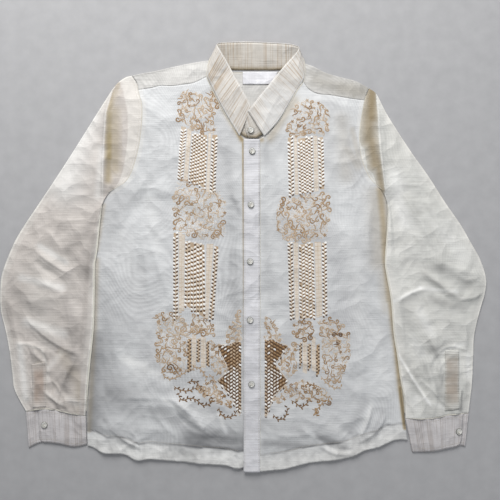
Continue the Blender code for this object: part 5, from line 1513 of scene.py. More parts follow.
def thread_material(name, stops, rough=0.33, grain=900.0):
    """Satin stitch thread; the tone attribute picks its colour."""
    mat, tree, shader = blank_material(name)
    colour = ramp(tree, attribute(tree, "tone"), stops)
    pos = node(tree, "ShaderNodeTexCoord").outputs["Object"]
    fibre = stretched_noise(tree, pos, grain, grain, 2.0, 0.6, 4.0)
    shade = ramp(tree, fibre, ((0.35, (0.72, 0.72, 0.72)), (0.65, (1.0, 1.0, 1.0))))
    colour = mixed(tree, 0.35, colour, shade, "MULTIPLY")
    tree.links.new(colour, shader.inputs["Base Color"])
    shader.inputs["Roughness"].default_value = rough
    shader.inputs["Sheen Weight"].default_value = 0.35
    shader.inputs["Anisotropic"].default_value = 0.4
    relief(tree, shader, fibre, 0.4, 0.0003)
    return mat


M_PEARL = pearl()
EMB_STOPS = ((0.0, (1.0, 0.985, 0.95)), (0.3, (0.63, 0.51, 0.38)), (0.55, (0.42, 0.26, 0.125)),
             (0.8, (0.19, 0.096, 0.035)), (1.0, (0.06, 0.028, 0.010)))
M_EMBROIDERY = thread_material("embroidery_thread", EMB_STOPS)
M_STITCH = thread_material("stitch_thread", ((0.0, (0.80, 0.78, 0.70)), (0.5, (0.58, 0.52, 0.42)),
                          (1.0, (0.32, 0.27, 0.19))))


# One stitch: a long hexagon with a ridge along its middle.
DASH_POINTS = (
    (-0.5, 0, 0), (-0.28, -0.5, 0), (0.28, -0.5, 0), (0.5, 0, 0), (0.28, 0.5, 0), (-0.28, 0.5, 0),
    (-0.25, 0, 1), (0.25, 0, 1),
)
DASH_FACES = ((0, 1, 6), (1, 2, 7, 6), (2, 3, 7), (3, 4, 7), (4, 5, 6, 7), (5, 0, 6))


class Threads:
    """Collects raised stitches into one mesh."""

    def __init__(self):
        self.verts = []
        self.faces = []
        self.tones = []

    def dash(self, x, y, z, length, width, angle, height, tone):
        """One raised stitch, centred on x, y."""
        c = math.cos(angle)
        s = math.sin(angle)
        base = len(self.verts)
        for u, v, h in DASH_POINTS:
            px = u * length
            py = v * width
            self.verts.append((x + px * c - py * s, y + px * s + py * c, z + h * height))
            self.tones.append(tone)
        for f in DASH_FACES:
            self.faces.append(tuple(base + q for q in f))

    def ribbon(self, pts, width, height, tone):
        """Raised satin line through plan points with heights, tapered at both ends."""
        n = len(pts)
        base = len(self.verts)
        for i, (x, y, z) in enumerate(pts):
            a = pts[max(i - 1, 0)]
            b = pts[min(i + 1, n - 1)]
            dx = b[0] - a[0]
            dy = b[1] - a[1]
            d = math.hypot(dx, dy) + 1e-9
            w = 0.5 * width * min(1.0, 0.35 + 3.0 * min(i, n - 1 - i) / n)
            for side, h in ((-1, 0.0), (0, height), (1, 0.0)):
                self.verts.append((x - dy / d * w * side, y + dx / d * w * side, z + h))
                self.tones.append(tone)
        for i in range(n - 1):
            q = base + i * 3
            self.faces.append((q, q + 1, q + 4, q + 3))
            self.faces.append((q + 1, q + 2, q + 5, q + 4))

    def build(self, name, material, slot):
        """Make the mesh and fix it to the body."""
        obj = make_mesh(name, self.verts, self.faces, None, self.tones, material)
        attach(obj, "root")
        return obj


SEWN = Threads()


def pearl_shade(share, ang):
    """Painted shade at a share of the button's radius: dark at the rim, darker on one side of the well."""
    low = 0.5 + 0.5 * math.cos(ang + 2.0)
    if share > 0.92:
        return 1.0
    if share > 0.8:
        return 0.25 + 0.7 * low
    return 0.85 * low * low if 0.45 < share < 0.7 else 0.0


def build_button(name, cad, place, under, gap):
    """A turned disc with a sunken well on the piece under it, sewn on through four holes."""
    x, y = place
    z = caster(under)(x, y) + gap
    count = 44
    verts = []
    faces = []
    tones = []
    for a, b in BUTTON_PROFILE:
        for i in range(count):
            ang = math.tau * i / count
            verts.append((x + a * BUTTON_RADIUS * math.cos(ang), y + a * BUTTON_RADIUS * math.sin(ang),
                          z + b * BUTTON_THICK))
            tones.append(pearl_shade(a, ang))
    last = len(BUTTON_PROFILE) - 1
    for k in range(last):
        for i in range(count):
            j = (i + 1) % count
            faces.append((k * count + i, (k + 1) * count + i, (k + 1) * count + j, k * count + j))
    faces.append(tuple(range(last * count, (last + 1) * count)))
    obj = make_mesh(name, verts, faces, None, tones, M_PEARL)
    clean(obj, weld=0.00001)
    obj.data.polygons.foreach_set("use_smooth", np.ones(len(obj.data.polygons), bool))
    finish(obj, cad)
    # The dark marks at the four holes are painted shade in the holes.
    for dx, dy in ((-HOLE, -HOLE), (HOLE, HOLE), (-HOLE, HOLE), (HOLE, -HOLE)):
        SEWN.dash(x + dx, y + dy, z + BUTTON_THICK * 0.53, 1.5, 1.5, 0.0, 0.06, 1.0)
    for dy in (-HOLE, HOLE):
        SEWN.dash(x, y + dy, z + BUTTON_THICK * 0.55, 3.4, 0.9, 0.0, 0.5, 0.1)


def stitch_line(points, height, gap=3.3, length=2.3, width=0.55, tone=0.5, lift=0.08):
    """A row of machine stitches along a line."""
    line = Line(points)
    n = int(line.length / gap)
    for i in range(n):
        k = (i + 0.5) / n
        p = line.at(k)
        q = line.at(min(1.0, k + 0.004))
        r = line.at(max(0.0, k - 0.004))
        ang = math.atan2(q[1] - r[1], q[0] - r[0])
        z = height(float(p[0]), float(p[1]))
        SEWN.dash(float(p[0]), float(p[1]), z + lift, length, width, ang, 0.22, tone)


# Embroidery. Every motif is drawn here by rule; positions in mm on the fronts.
# Lattice bands: upper left, upper right, lower left and lower right corner, columns, row pitch,
# darkness, strength of the crossing lines.
LATTICES = (
    (-117.6, 247.6, -105.3, 243.8, -124.7, 148.5, -112, 146.6, 2, 5.7, 0.38, 0.0),
    (-96.3, 232.6, -66.4, 230.8, -103.8, 142.9, -70.1, 126, 7, 5.7, 0.45, 0.5),
    (-59.8, 230.8, -46.9, 230.8, -63.8, 122.3, -51.4, 120.4, 2, 6.2, 0.62, 0.0),
    (-132.2, 47.5, -121.4, 47.5, -131.8, -113.3, -121.7, -120.8, 2, 6.7, 0.62, 0.5),
    (-109.4, 32.5, -72, 25.1, -111.3, -89, -70.1, -117.1, 7, 6.9, 0.50, 1.0),
    (-55.2, 23.2, -45.1, 21.3, -66.4, -117.1, -54.4, -117.1, 2, 6.8, 0.68, 0.0),
    (-105.7, -150.7, -96.3, -150.7, -105.7, -212.4, -96.3, -212.4, 2, 6.2, 0.95, 0.0),
    (-88.1, -150.7, -79.5, -150.7, -88.8, -197.5, -80.2, -197.5, 2, 5.8, 0.84, 0.0),
    (-70.1, -156.3, -63.8, -156.3, -70.1, -205, -62.6, -205, 2, 6.0, 0.95, 0.0),
    (81.3, 225.1, 93.7, 227, 84, 114.8, 95.6, 114.8, 2, 6.6, 0.5, 0.0),
    (100, 223.3, 130, 227, 103.8, 118.6, 131.8, 122.3, 6, 6.1, 0.45, 0.5),
    (138.2, 225.1, 150.2, 227, 141.2, 126, 152.4, 126, 2, 6.5, 0.42, 0.0),
    (81.3, 28.8, 92.6, 28.8, 86.2, -113.3, 96.3, -117.1, 2, 6.6, 0.66, 0.0),
    (103, 25.1, 131.8, 28.8, 103.8, -117.1, 135.6, -113.3, 5, 6.4, 0.52, 1.0),
    (145.7, 28.8, 156.1, 28.8, 147.5, -109.6, 157.6, -109.6, 2, 6.6, 0.60, 0.5),
    (103.8, -158.2, 110.1, -158.2, 103.8, -205, 110.1, -205, 2, 6.0, 0.84, 0.0),
    (118.7, -160.1, 127, -160.1, 119.5, -208.7, 127, -208.7, 2, 6.0, 0.84, 0.0),
    (134.5, -161.9, 143.1, -161.9, 135.2, -219.9, 143.1, -219.9, 2, 6.4, 0.95, 0.0),
)
# Plain satin strips: four corners.
SATINS = (
    (-104.5, 242, -97.4, 236.4, -111.6, 144.7, -104.5, 141),
    (-65.3, 232.6, -60.4, 232.6, -69.4, 124.2, -64.1, 120.4),
    (-120.6, 49.4, -109.8, 40, -120.6, -105.8, -111.3, -98.4),
    (-69.4, 25.1, -55.9, 25.1, -71.2, -113.3, -66.4, -117.1),
    (-95.9, -143.2, -88.5, -143.2, -95.9, -203.1, -89.2, -206.8),
    (-79.1, -147, -70.5, -150.7, -79.8, -206.8, -70.5, -206.8),
    (94.4, 225.1, 99.7, 225.1, 96.3, 116.7, 103, 116.7),
    (130.7, 227, 137.8, 227, 132.6, 122.3, 140.8, 124.2),
    (93.3, 28.8, 102.3, 26.9, 97.1, -117.1, 103.4, -117.1),
    (132.6, 28.8, 145.3, 28.8, 136.3, -113.3, 147.2, -109.6),
    (110.9, -150.7, 118.4, -147, 110.9, -214.3, 118.7, -218),
    (127.7, -147, 134.1, -150.7, 127.7, -210.6, 134.8, -214.3),
)
# Pointed lattice beside the front band, one outline for each side.
POINTED = (
    ((-49.6, -163.8), (-29, -163.1), (-14, -156.3), (-3.6, -158.2), (-3.6, -281.6), (-7.3, -296.6),
     (-14.8, -279.8), (-22.6, -261.1), (-49.6, -231.1), (-28.2, -209.4)),
    ((39.5, -156.3), (53.3, -150.7), (68.3, -160.1), (83.2, -165.7), (59.7, -199.3), (84.3, -232.3),
     (56.3, -261.1), (48.8, -281.6), (42.8, -298.5), (39.1, -294.7)),
)
# Fields of scrolls: outline, spacing, scroll radius, tone, seed.
FIELDS = (
    (((-113.1, 309.3), (-88.8, 309.3), (-73.9, 298.1), (-58.9, 311.2), (-45.8, 286.9), (-49.6, 271.9),
      (-62.6, 256.9), (-49.6, 243.8), (-55.2, 230.8), (-70.1, 236.4), (-100, 238.2), (-107.5, 249.5),
      (-122.5, 255.1), (-122.5, 286.9)), 8.7, 4.7, 0.40, 3),
    (((-124.4, 144.7), (-107.5, 148.5), (-96.3, 137.3), (-72, 122.3), (-45.8, 126), (-32.7, 98),
      (-36.5, 66.2), (-32.7, 47.5), (-58.9, 30.7), (-88.8, 36.3), (-118.7, 47.5), (-131.8, 55),
      (-131.8, 107.3)), 9.4, 5.0, 0.38, 8),
    (((-163.6, -105.8), (-137.4, -102.1), (-111.3, -117.1), (-96.3, -135.8), (-107.5, -148.9),
      (-109.4, -212.4), (-126.2, -218), (-148.7, -210.6), (-163.6, -191.9)), 9.0, 4.5, 0.36, 5),
    (((-96.3, -105.8), (-70.1, -117.1), (-53.3, -128.3), (-55.2, -147), (-70.1, -141.4),
      (-96.3, -139.5)), 8.7, 4.5, 0.40, 12),
    (((-25.2, -124.5), (-6.5, -100.2), (-2.8, -156.3), (-19.6, -154.5), (-32.7, -158.2),
      (-34.6, -145.1)), 8.2, 3.8, 0.34, 14),
    (((-60.8, -150.7), (-45.8, -176.9), (-30.9, -210.6), (-43.9, -218),
      (-60.8, -206.8)), 8.7, 3.8, 0.38, 15),
    (((-87, -244.2), (-62.6, -229.3), (-49.6, -244.2), (-25.2, -266.7), (-19.6, -281.6),
      (-40.2, -274.1), (-58.9, -270.4), (-77.6, -259.2)), 8.1, 3.8, 0.42, 16),
    (((94.4, 286.9), (113.1, 296.2), (139.3, 288.7), (159.9, 275.6), (159.9, 242), (150.5, 228.9),
      (131.8, 230.8), (105.7, 225.1), (85.1, 223.3), (81.3, 242), (92.6, 256.9)), 8.7, 4.7, 0.42, 21),
    (((70.1, 114.8), (96.3, 112.9), (128.1, 116.7), (159.9, 122.3), (163.6, 77.4), (154.3, 40),
      (128.1, 28.8), (98.2, 28.8), (75.7, 32.5), (60.8, 58.7), (62.6, 96.1)), 9.4, 5.0, 0.40, 22),
    (((135.6, -117.1), (161.8, -113.3), (187.9, -124.5), (199.2, -147), (195.4, -195.6), (180.5, -233),
      (154.3, -233), (146.8, -214.3), (146.8, -150.7)), 9.0, 4.5, 0.38, 23),
    (((94.4, -120.8), (128.1, -117.1), (131.8, -143.2), (113.1, -150.7),
      (92.6, -150.7)), 8.7, 4.5, 0.42, 24),
    (((39.5, -109.6), (57, -120.8), (68.3, -143.2), (75.7, -158.2), (53.3, -148.9),
      (39.5, -152.6)), 8.2, 3.8, 0.34, 25),
    (((66.4, -195.6), (79.5, -173.2), (98.2, -161.9), (100, -210.6), (87, -225.5),
      (75.7, -218)), 8.7, 3.8, 0.38, 26),
    (((85.1, -236.7), (113.1, -229.3), (139.3, -240.5), (161.8, -251.7), (146.8, -270.4),
      (116.9, -270.4), (87, -262.9), (60.8, -274.1), (57, -262.9)), 8.5, 3.9, 0.42, 27),
)
# Leafy vines: points of the stem, leaf size, tone.
VINES = (
    (((-105.7, -234.9), (-100, -232.1), (-88.8, -233), (-83.2, -240.5), (-75.7, -249.8),
      (-70.1, -259.2)), 3.4, 0.85),
    (((-130, -240.5), (-122.5, -246.1), (-107.5, -249.8), (-98.2, -248), (-88.8, -244.2)), 3.4, 0.8),
    (((-118.7, -251.7), (-120.6, -259.2), (-113.1, -266.7), (-100, -262.9), (-87, -266.7),
      (-75.7, -276), (-60.8, -272.3), (-57, -262.9)), 3.4, 0.85),
    (((-45.8, -279.8), (-42.1, -292.8), (-30.9, -298.5), (-17.8, -294.7), (-14, -289.1)), 3.2, 0.8),
    (((-150.5, -210.6), (-148.7, -221.8), (-137.4, -227.4), (-124.4, -223.7), (-111.3, -216.2),
      (-101.9, -210.6)), 2.6, 0.5),
    (((-64.5, -218), (-55.2, -229.3), (-51.4, -244.2), (-43.9, -255.4), (-42.1, -270.4)), 2.6, 0.5),
    (((-98.2, -212.4), (-90.7, -205), (-81.3, -208.7), (-73.9, -218), (-68.3, -229.3)), 3.0, 0.5),
    (((137.4, -251.7), (131.8, -240.5), (120.6, -236.7), (111.3, -242.4)), 3.4, 0.75),
    (((161.8, -270.4), (152.4, -266.7), (143.1, -277.9), (133.7, -289.1), (137.4, -296.6)), 3.2, 0.6),
    (((88.8, -266.7), (98.2, -272.3), (107.5, -279.8), (116.9, -274.1), (124.4, -266.7)), 3.4, 0.8),
    (((55.2, -292.8), (64.5, -302.2), (75.7, -300.3), (81.3, -289.1), (81.3, -277.9)), 3.2, 0.85),
    (((144.9, -221.8), (156.1, -234.9), (171.1, -244.2), (184.2, -240.5)), 2.6, 0.45),
    (((139.3, -244.2), (148.7, -257.3), (165.5, -262.9)), 2.6, 0.5),
)
# Single larger curls: centre, radius, start angle, hand, width, tone.
CURLS = (
    (-136.7, -206.1, 7.0, 0.2, 1, 2.4, 0.95),
    (-75.7, -142.5, 7.4, 2.6, -1, 2.4, 0.7),
    (-93.7, -137.6, 6.0, 0.4, 1, 2.2, 0.5),
    (-111.3, -134.6, 6.4, 3.4, -1, 2.4, 0.45),
    (-76.9, 231.9, 4.6, 1.2, 1, 2.6, 0.6),
    (-94.1, 243.1, 5.4, 0.3, 1, 1.9, 0.5),
    (-115, -117.1, 5.2, 4.4, 1, 2.0, 0.4),
    (-90.7, 139.1, 5.0, 1.0, 1, 2.0, 0.55),
    (-49.6, 45.6, 6.4, 0.2, 1, 2.2, 0.55),
    (-92.6, 41.9, 6.0, 0.9, -1, 2.2, 0.6),
    (169.2, -144.4, 4.2, 0.5, 1, 2.4, 0.95),
    (181.2, -145.1, 4.2, 2.4, -1, 2.4, 0.9),
    (176, -158.2, 4.2, 4.4, 1, 2.4, 0.9),
    (125.5, -150, 5.4, 1.8, 1, 2.6, 0.75),
    (113.9, -154.5, 5.0, 2.2, -1, 2.6, 0.75),
    (159.9, -271.5, 4.6, 4.0, 1, 2.2, 0.75),
    (136.3, -289.1, 4.4, 1.8, -1, 2.2, 0.6),
    (93.7, -163.1, 5.0, 0.6, 1, 2.0, 0.5),
    (115, 41.9, 6.0, 1.6, 1, 2.2, 0.55),
    (111.3, 230.8, 5.4, 2.4, -1, 2.2, 0.5),
)


def fronts_reader():
    """Reader of the height of whichever front is on top."""
    right = caster("cloth_front_right", LAYER + WALL)
    left = caster("cloth_front_left", LAYER + WALL)

    def read(x, y):
        return right(x, y) if x < STRIP_LEFT - FRONTS_MEET else left(x, y)
    return read


def lay_dash(out, read, x, y, length, width, angle, height, tone, lift=0.12):
    """One stitch following the cloth."""
    start = len(out.verts)
    out.dash(x, y, 0.0, length, width, angle, height, tone)
    for k in range(start, len(out.verts)):
        px, py, pz = out.verts[k]
        out.verts[k] = (px, py, pz + read(px, py) + lift)
        # Painted highlight: the ridge points are paler.
        if pz > 0.0:
            out.tones[k] = max(0.0, tone - 0.1)


def lay_ribbon(out, read, pts, width, height, tone, lift=0.12):
    """One satin line following the cloth, with a painted highlight on its ridge and painted shade at its
    edges.
    """
    start = len(out.verts)
    out.ribbon([(x, y, 0.0) for x, y in pts], width, height, tone)
    for k in range(start, len(out.verts)):
        px, py, pz = out.verts[k]
        out.verts[k] = (px, py, pz + read(px, py) + lift)
        # Painted highlight on the ridge, painted shade at the edges.
        out.tones[k] = min(1.0, max(0.0, tone + (-0.2 if pz > 0.0 else 0.22)))


def scroll(out, read, x, y, r, a0, hand, width, tone, turns=1.1):
    """C-scroll with a counter-curved tail and a knot at its eye."""
    pts = []
    tail = 0.4
    for t in np.linspace(-tail, 1.0, 22):
        if t < 0.0:
            d = -t / tail * r * 1.5
            px = x + r * math.cos(a0) + hand * math.sin(a0) * d + math.cos(a0) * d * d / (r * 3.0)
            py = y + r * math.sin(a0) - hand * math.cos(a0) * d + math.sin(a0) * d * d / (r * 3.0)
        else:
            ang = a0 + hand * turns * math.tau * t
            rad = r * (1.0 - 0.78 * t)
            px = x + rad * math.cos(ang)
            py = y + rad * math.sin(ang)
        pts.append((px, py))
    lay_ribbon(out, read, pts, width, 0.45, tone)
    lay_dash(out, read, pts[-1][0], pts[-1][1], width * 0.95, width * 0.95, a0, 0.5, min(1.0, tone + 0.1))


def inside(poly, x, y):
    """Whether a point lies in an outline."""
    odd = False
    for (ax, ay), (bx, by) in zip(poly, poly[1:] + poly[:1]):
        if (ay > y) != (by > y) and x < (bx - ax) * (y - ay) / (by - ay) + ax:
            odd = not odd
    return odd


def spread(poly):
    """Lowest and highest x and y of an outline."""
    xs = [p[0] for p in poly]
    ys = [p[1] for p in poly]
    return min(xs), max(xs), min(ys), max(ys)


def four_corners(corners):
    """Upper left, upper right, lower left and lower right corner."""
    return (np.array(corners[i:i + 2]) for i in (0, 2, 4, 6))


def cross_shade(p, u, w, seed):
    """How much darker a wide band is at share u across and w down, where its crossing lines run."""
    one = abs((w - u * 0.55 + 0.15) % 1.05 - 0.5)
    two = abs((w + u * 0.55 + 0.55) % 2.1 - 1.0)
    uneven = 0.25 * noise.noise((p[0] / 16.0, p[1] / 16.0, seed * 1.7))
    return 0.45 * max(0.0, 1 - one * 6.0) + 0.4 * max(0.0, 1 - two * 5.0) - 0.16 + uneven


def lattice(out, read, corners, columns, pitch, dark, cross, seed):
    """Columns of slanting stitches, a light one above a dark one in each cell; the dark one is painted shade
    in the gap.
    """
    a, b, c, d = four_corners(corners)
    rows = int(np.linalg.norm(c - a) / pitch)
    wide = float(np.linalg.norm(b - a)) / columns
    down = math.atan2(c[1] - a[1], c[0] - a[0])
    rng = np.random.default_rng(seed)
    for i in range(rows):
        v = (i + 0.5) / rows
        for j in range(columns):
            u = (j + 0.5) / columns
            p = (a + (b - a) * u) * (1 - v) + (c + (d - c) * u) * v
            lean = 1 if j % 2 else -1
            shift = 0.25 * pitch * lean + 0.1 * pitch * (rng.random() - 0.5)
            if i in (0, rows - 1) and rng.random() < 0.3:
                continue
            shade = dark + cross * cross_shade(p, u, v * rows * pitch / (columns * wide), seed)
            shade = float(np.clip(shade + 0.1 * (rng.random() - 0.5), 0.05, 1.0))
            ang = down + math.pi / 2 + lean * 0.68
            x = float(p[0])
            y = float(p[1]) + shift
            light = max(0.0, shade * 0.95 - 0.50)
            # The dark stitch below each light one is painted shade in the gap.
            deep = min(1.0, shade * 0.6 + 0.64)
            lay_dash(out, read, x, y, wide * 1.08, pitch * 0.54, ang, 0.85, light)
            lay_dash(out, read, x, y - pitch * 0.5, wide * 0.86, pitch * 0.48, ang, 0.3, deep)


def patch(out, read, corners, tone, step_mm=2.4, lift=0.10):
    """Close ground stitching below a band."""
    a, b, c, d = four_corners(corners)
    n = max(2, int(np.linalg.norm(b - a) / step_mm))
    m = max(2, int(np.linalg.norm(c - a) / step_mm))
    base = len(out.verts)
    for i in range(m + 1):
        v = i / m
        for j in range(n + 1):
            p = (a + (b - a) * j / n) * (1 - v) + (c + (d - c) * j / n) * v
            x = float(p[0])
            y = float(p[1])
            rim = 0.3 if i in (0, m) or j in (0, n) else 0.0
            out.verts.append((x, y, read(x, y) + lift - rim))
            out.tones.append(tone + 0.08 * noise.noise((x / 9.0, y / 9.0, 1.0)))
    for i in range(m):
        for j in range(n):
            q = base + i * (n + 1) + j
            out.faces.append((q, q + n + 1, q + n + 2, q + 1))


def satin_strip(out, read, corners, seed):
    """Close stitches side by side across a narrow strip."""
    a, b, c, d = four_corners(corners)
    rng = np.random.default_rng(seed)
    count = int(np.linalg.norm(c - a) / 1.15)
    for i in range(count):
        v = (i + 0.5) / count
        left = a + (c - a) * v
        right = b + (d - b) * v
        size = float(np.linalg.norm(right - left)) + 1.2
        pieces = 2 if size > 8 else 1
        for k in range(pieces):
            p = left + (right - left) * ((k + 0.5) / pieces)
            tone = 0.20 + 0.07 * rng.random() + (0.12 if i % 7 == 0 else 0.0)
            lay_dash(out, read, float(p[0]), float(p[1]), size / pieces + 0.3, 1.25,
                     0.05 * (rng.random() - 0.5), 0.22, tone, lift=0.06)


def pointed_ground(out, read, poly, cell=2.2, tone=0.82):
    """Dark ground of small squares wherever a whole one fits in the outline."""
    x0, x1, y0, y1 = spread(poly)
    for i in range(int((y1 - y0) / cell) + 1):
        for j in range(int((x1 - x0) / cell) + 1):
            box = [(x0 + cell * (j + u), y0 + cell * (i + v)) for u, v in ((0, 0), (1, 0), (1, 1), (0, 1))]
            if all(inside(poly, px, py) for px, py in box):
                base = len(out.verts)
                for px, py in box:
                    out.verts.append((px, py, read(px, py) + 0.1))
                    out.tones.append(tone)
                out.faces.append((base, base + 1, base + 2, base + 3))


def pointed(out, read, poly, side):
    """Lattice cut to two points, with a light border along its free edges."""
    x0, x1, y0, y1 = spread(poly)
    edge = x1 if side == 0 else x0
    away = -1 if side == 0 else 1
    pitch = 6.6
    wide = 5.5
    rng = np.random.default_rng(77 + side)
    pointed_ground(out, read, poly)
    for i in range(int((y1 - y0) / pitch) + 1):
        for j in range(int((x1 - x0) / wide) + 2):
            x = edge + away * wide * (j + 0.5)
            lean = 1 if j % 2 else -1
            y = y1 - pitch * (i + 0.5) + 0.25 * pitch * lean
            if not inside(poly, x, y):
                continue
            far = abs(x - edge) / (x1 - x0)
            low = (y1 - y) / (y1 - y0)
            outer = far > 0.42
            shade = 0.84 - 0.30 * (0.14 < far < 0.62 and low > 0.40) + 0.14 * (low < 0.34) + 0.05 * outer
            shade = float(np.clip(shade + 0.16 * (rng.random() - 0.5), 0.0, 1.0))
            ang = (-0.95 if low > 0.5 else 0.72) * -away if outer else lean * 0.72
            light = max(0.0, shade * 1.1 - (0.46 if outer else 0.56))
            if rng.random() < 0.22:
                light = 0.0
            # The dark stitch below each light one is painted shade in the gap.
            deep = min(1.0, shade * 0.5 + 0.78)
            lay_dash(out, read, x, y, wide * 1.14, pitch * (0.42 if outer else 0.5), ang, 0.85, light)
            lay_dash(out, read, x, y - pitch * 0.5, wide * 1.0, pitch * 0.54, ang, 0.25, deep)
    for (ax, ay), (bx, by) in zip(poly, poly[1:] + poly[:1]):
        if abs(ax - edge) < 2.0 and abs(bx - edge) < 2.0:
            continue
        n = max(2, int(math.hypot(bx - ax, by - ay) / 3.0))
        pts = [(ax + (bx - ax) * k / n, ay + (by - ay) * k / n) for k in range(n + 1)]
        lay_ribbon(out, read, pts, 1.8, 0.5, 0.22)


def sprig(out, read, x, y, a0, hand, shade):
    """Three leaves one above the other."""
    for k in range(3):
        ang = a0 + 0.5 * (k - 1)
        px = x + 2.4 * math.cos(ang) * k * 0.6
        py = y + 2.4 * math.sin(ang) * k * 0.6 + (k - 1) * 1.9
        lay_dash(out, read, px, py, 4.6, 1.5, ang + 0.5 * hand, 0.4, shade)


def flower(out, read, x, y, a0, shade):
    """Five petals round a knot."""
    tone = min(1, shade + 0.08)
    for k in range(5):
        ang = a0 + math.tau * k / 5
        lay_dash(out, read, x + 2.1 * math.cos(ang), y + 2.1 * math.sin(ang), 3.4, 1.6, ang, 0.45, tone)
    lay_dash(out, read, x, y, 1.7, 1.7, 0, 0.6, 0.7)


def tendril(out, read, x, y, dx, dy, bow, shade):
    """A thin bowed line from one motif towards the next."""
    pts = []
    for t in np.linspace(0.12, 0.88, 8):
        swing = bow * math.sin(math.pi * t)
        pts.append((x + dx * t - dy * swing, y + dy * t + dx * swing))
    lay_ribbon(out, read, pts, 1.2, 0.35, shade)


def scroll_field(out, read, poly, spacing, radius, tone, seed):
    """An outline filled with ground stitches, scrolls, sprigs and flowers, linked by tendrils."""
    rng = np.random.default_rng(seed)
    x0, x1, y0, y1 = spread(poly)
    centres = []
    for _ in range(1400):
        x = rng.uniform(x0, x1)
        y = rng.uniform(y0, y1)
        if inside(poly, x, y) and all(math.hypot(x - q[0], y - q[1]) > spacing for q in centres):
            centres.append((x, y))
    cx = float(np.mean([p[0] for p in poly]))
    cy = float(np.mean([p[1] for p in poly]))
    for _ in range(int(len(centres) * spacing * spacing / 4.2)):
        x = rng.uniform(x0, x1)
        y = rng.uniform(y0, y1)
        if inside(poly, x, y):
            lay_dash(out, read, x, y, rng.uniform(2.4, 4.4), 0.9, rng.uniform(0, math.pi), 0.18,
                     float(rng.uniform(0.16, 0.42)), lift=0.04)
    for x, y in centres:
        r = radius * rng.uniform(0.72, 1.18)
        hand = 1 if rng.random() < 0.5 else -1
        a0 = math.atan2(cy - y, cx - x) + rng.uniform(-1.3, 1.3)
        shade = float(np.clip(tone + rng.uniform(-0.14, 0.22), 0.1, 0.95))
        kind = rng.random()
        if kind < 0.72:
            width = rng.uniform(1.8, 2.7)
            turns = rng.uniform(0.7, 1.0)
            scroll(out, read, x, y, r, a0, hand, width, min(1.0, shade + 0.09), turns)
        elif kind < 0.86:
            sprig(out, read, x, y, a0, hand, shade)
        else:
            flower(out, read, x, y, a0, shade)
        near = sorted(centres, key=lambda q: math.hypot(q[0] - x, q[1] - y))[1:3]
        for q in near[:1 + (rng.random() < 0.4)]:
            tendril(out, read, x, y, q[0] - x, q[1] - y, rng.uniform(-0.35, 0.35), shade)


def vine(out, read, points, leaf, tone):
    """A stem with leaves by turns on either side."""
    line = Line(points)
    n = max(8, int(line.length / 1.6))
    stem = [tuple(float(c) for c in line.at(k / n)) for k in range(n + 1)]
    lay_ribbon(out, read, stem, 1.9, 0.5, min(1.0, tone * 0.9))
    count = int(line.length / 4.6)
    for i in range(count):
        k = (i + 0.6) / count
        p = line.at(k)
        q = line.at(min(1.0, k + 0.03))
        lean = math.atan2(q[1] - p[1], q[0] - p[0]) + (-0.95 if i % 2 == 0 else 0.95)
        x = float(p[0]) + math.cos(lean) * leaf * 0.95
        y = float(p[1]) + math.sin(lean) * leaf * 0.95
        lay_dash(out, read, x, y, leaf * 1.8, leaf * 0.74, lean, 0.5, min(1.0, tone + 0.1 * (i % 2)))


def build_embroidery():
    """All bands in one mesh and all curls in another."""
    read = fronts_reader()
    bands = Threads()
    for corners in SATINS:
        patch(bands, read, corners, 0.26)
    for *corners, _, _, dark, _ in LATTICES:
        patch(bands, read, corners, 0.14 + 0.42 * dark)
    for i, corners in enumerate(SATINS):
        satin_strip(bands, read, corners, i)
    for i, (*corners, columns, pitch, dark, cross) in enumerate(LATTICES):
        lattice(bands, read, corners, columns, pitch, dark, cross, i)
    for side, poly in enumerate(POINTED):
        pointed(bands, read, poly, side)
    bands.build("embroidery_bands", M_EMBROIDERY, "body_cloth")
    curls = Threads()
    for poly, spacing, radius, tone, seed in FIELDS:
        scroll_field(curls, read, poly, spacing, radius, tone, seed)
    for x, y, r, a0, hand, width, tone in CURLS:
        scroll(curls, read, x, y, r, a0, hand, width, tone, 1.3)
    for points, leaf, tone in VINES:
        vine(curls, read, points, leaf, tone)
    curls.build("embroidery_scrolls", M_EMBROIDERY, "body_cloth")


def build_floor():
    """A plain pale floor."""
    h = FLOOR_HALF
    corners = [(-h, -h, 0), (h, -h, 0), (h, h, 0), (-h, h, 0)]
    floor = make_mesh("floor", corners, [(0, 1, 2, 3)], smooth=False)
    mat, tree, shader = blank_material("floor_pale")
    pos = node(tree, "ShaderNodeTexCoord").outputs["Object"]
    grain = stretched_noise(tree, pos, 40.0, 40.0, 3.0, 0.5, 1.0)
    colour = ramp(tree, grain, ((0.3, (0.42, 0.42, 0.43)), (0.7, (0.46, 0.46, 0.47))))
    tree.links.new(colour, shader.inputs["Base Color"])
    shader.inputs["Roughness"].default_value = 0.9
    floor.data.materials.append(mat)


def build_lights():
    """A pale world, a large key light from the collar's side and a weak fill."""
    world = bpy.data.worlds.new("studio")
    bpy.context.scene.world = world
    world.use_nodes = True
    world.node_tree.nodes["Background"].inputs["Color"].default_value = (0.95, 0.97, 1.0, 1.0)
    world.node_tree.nodes["Background"].inputs["Strength"].default_value = 0.30
    for name, place, size, power, colour in (
            ("key", (-0.30, 1.60, 1.22), 1.15, 41.0, (1.0, 0.99, 0.975)),
            ("fill", (1.5, -0.6, 1.5), 1.6, 6.5, (0.95, 0.97, 1.0))):
        light = bpy.data.lights.new(name, "AREA")
        light.energy = power
        light.size = size
        light.color = colour
        obj = bpy.data.objects.new(name, light)
        obj.location = place
        obj.rotation_euler = (-Vector(place)).to_track_quat("-Z", "Y").to_euler()
        bpy.context.scene.collection.objects.link(obj)


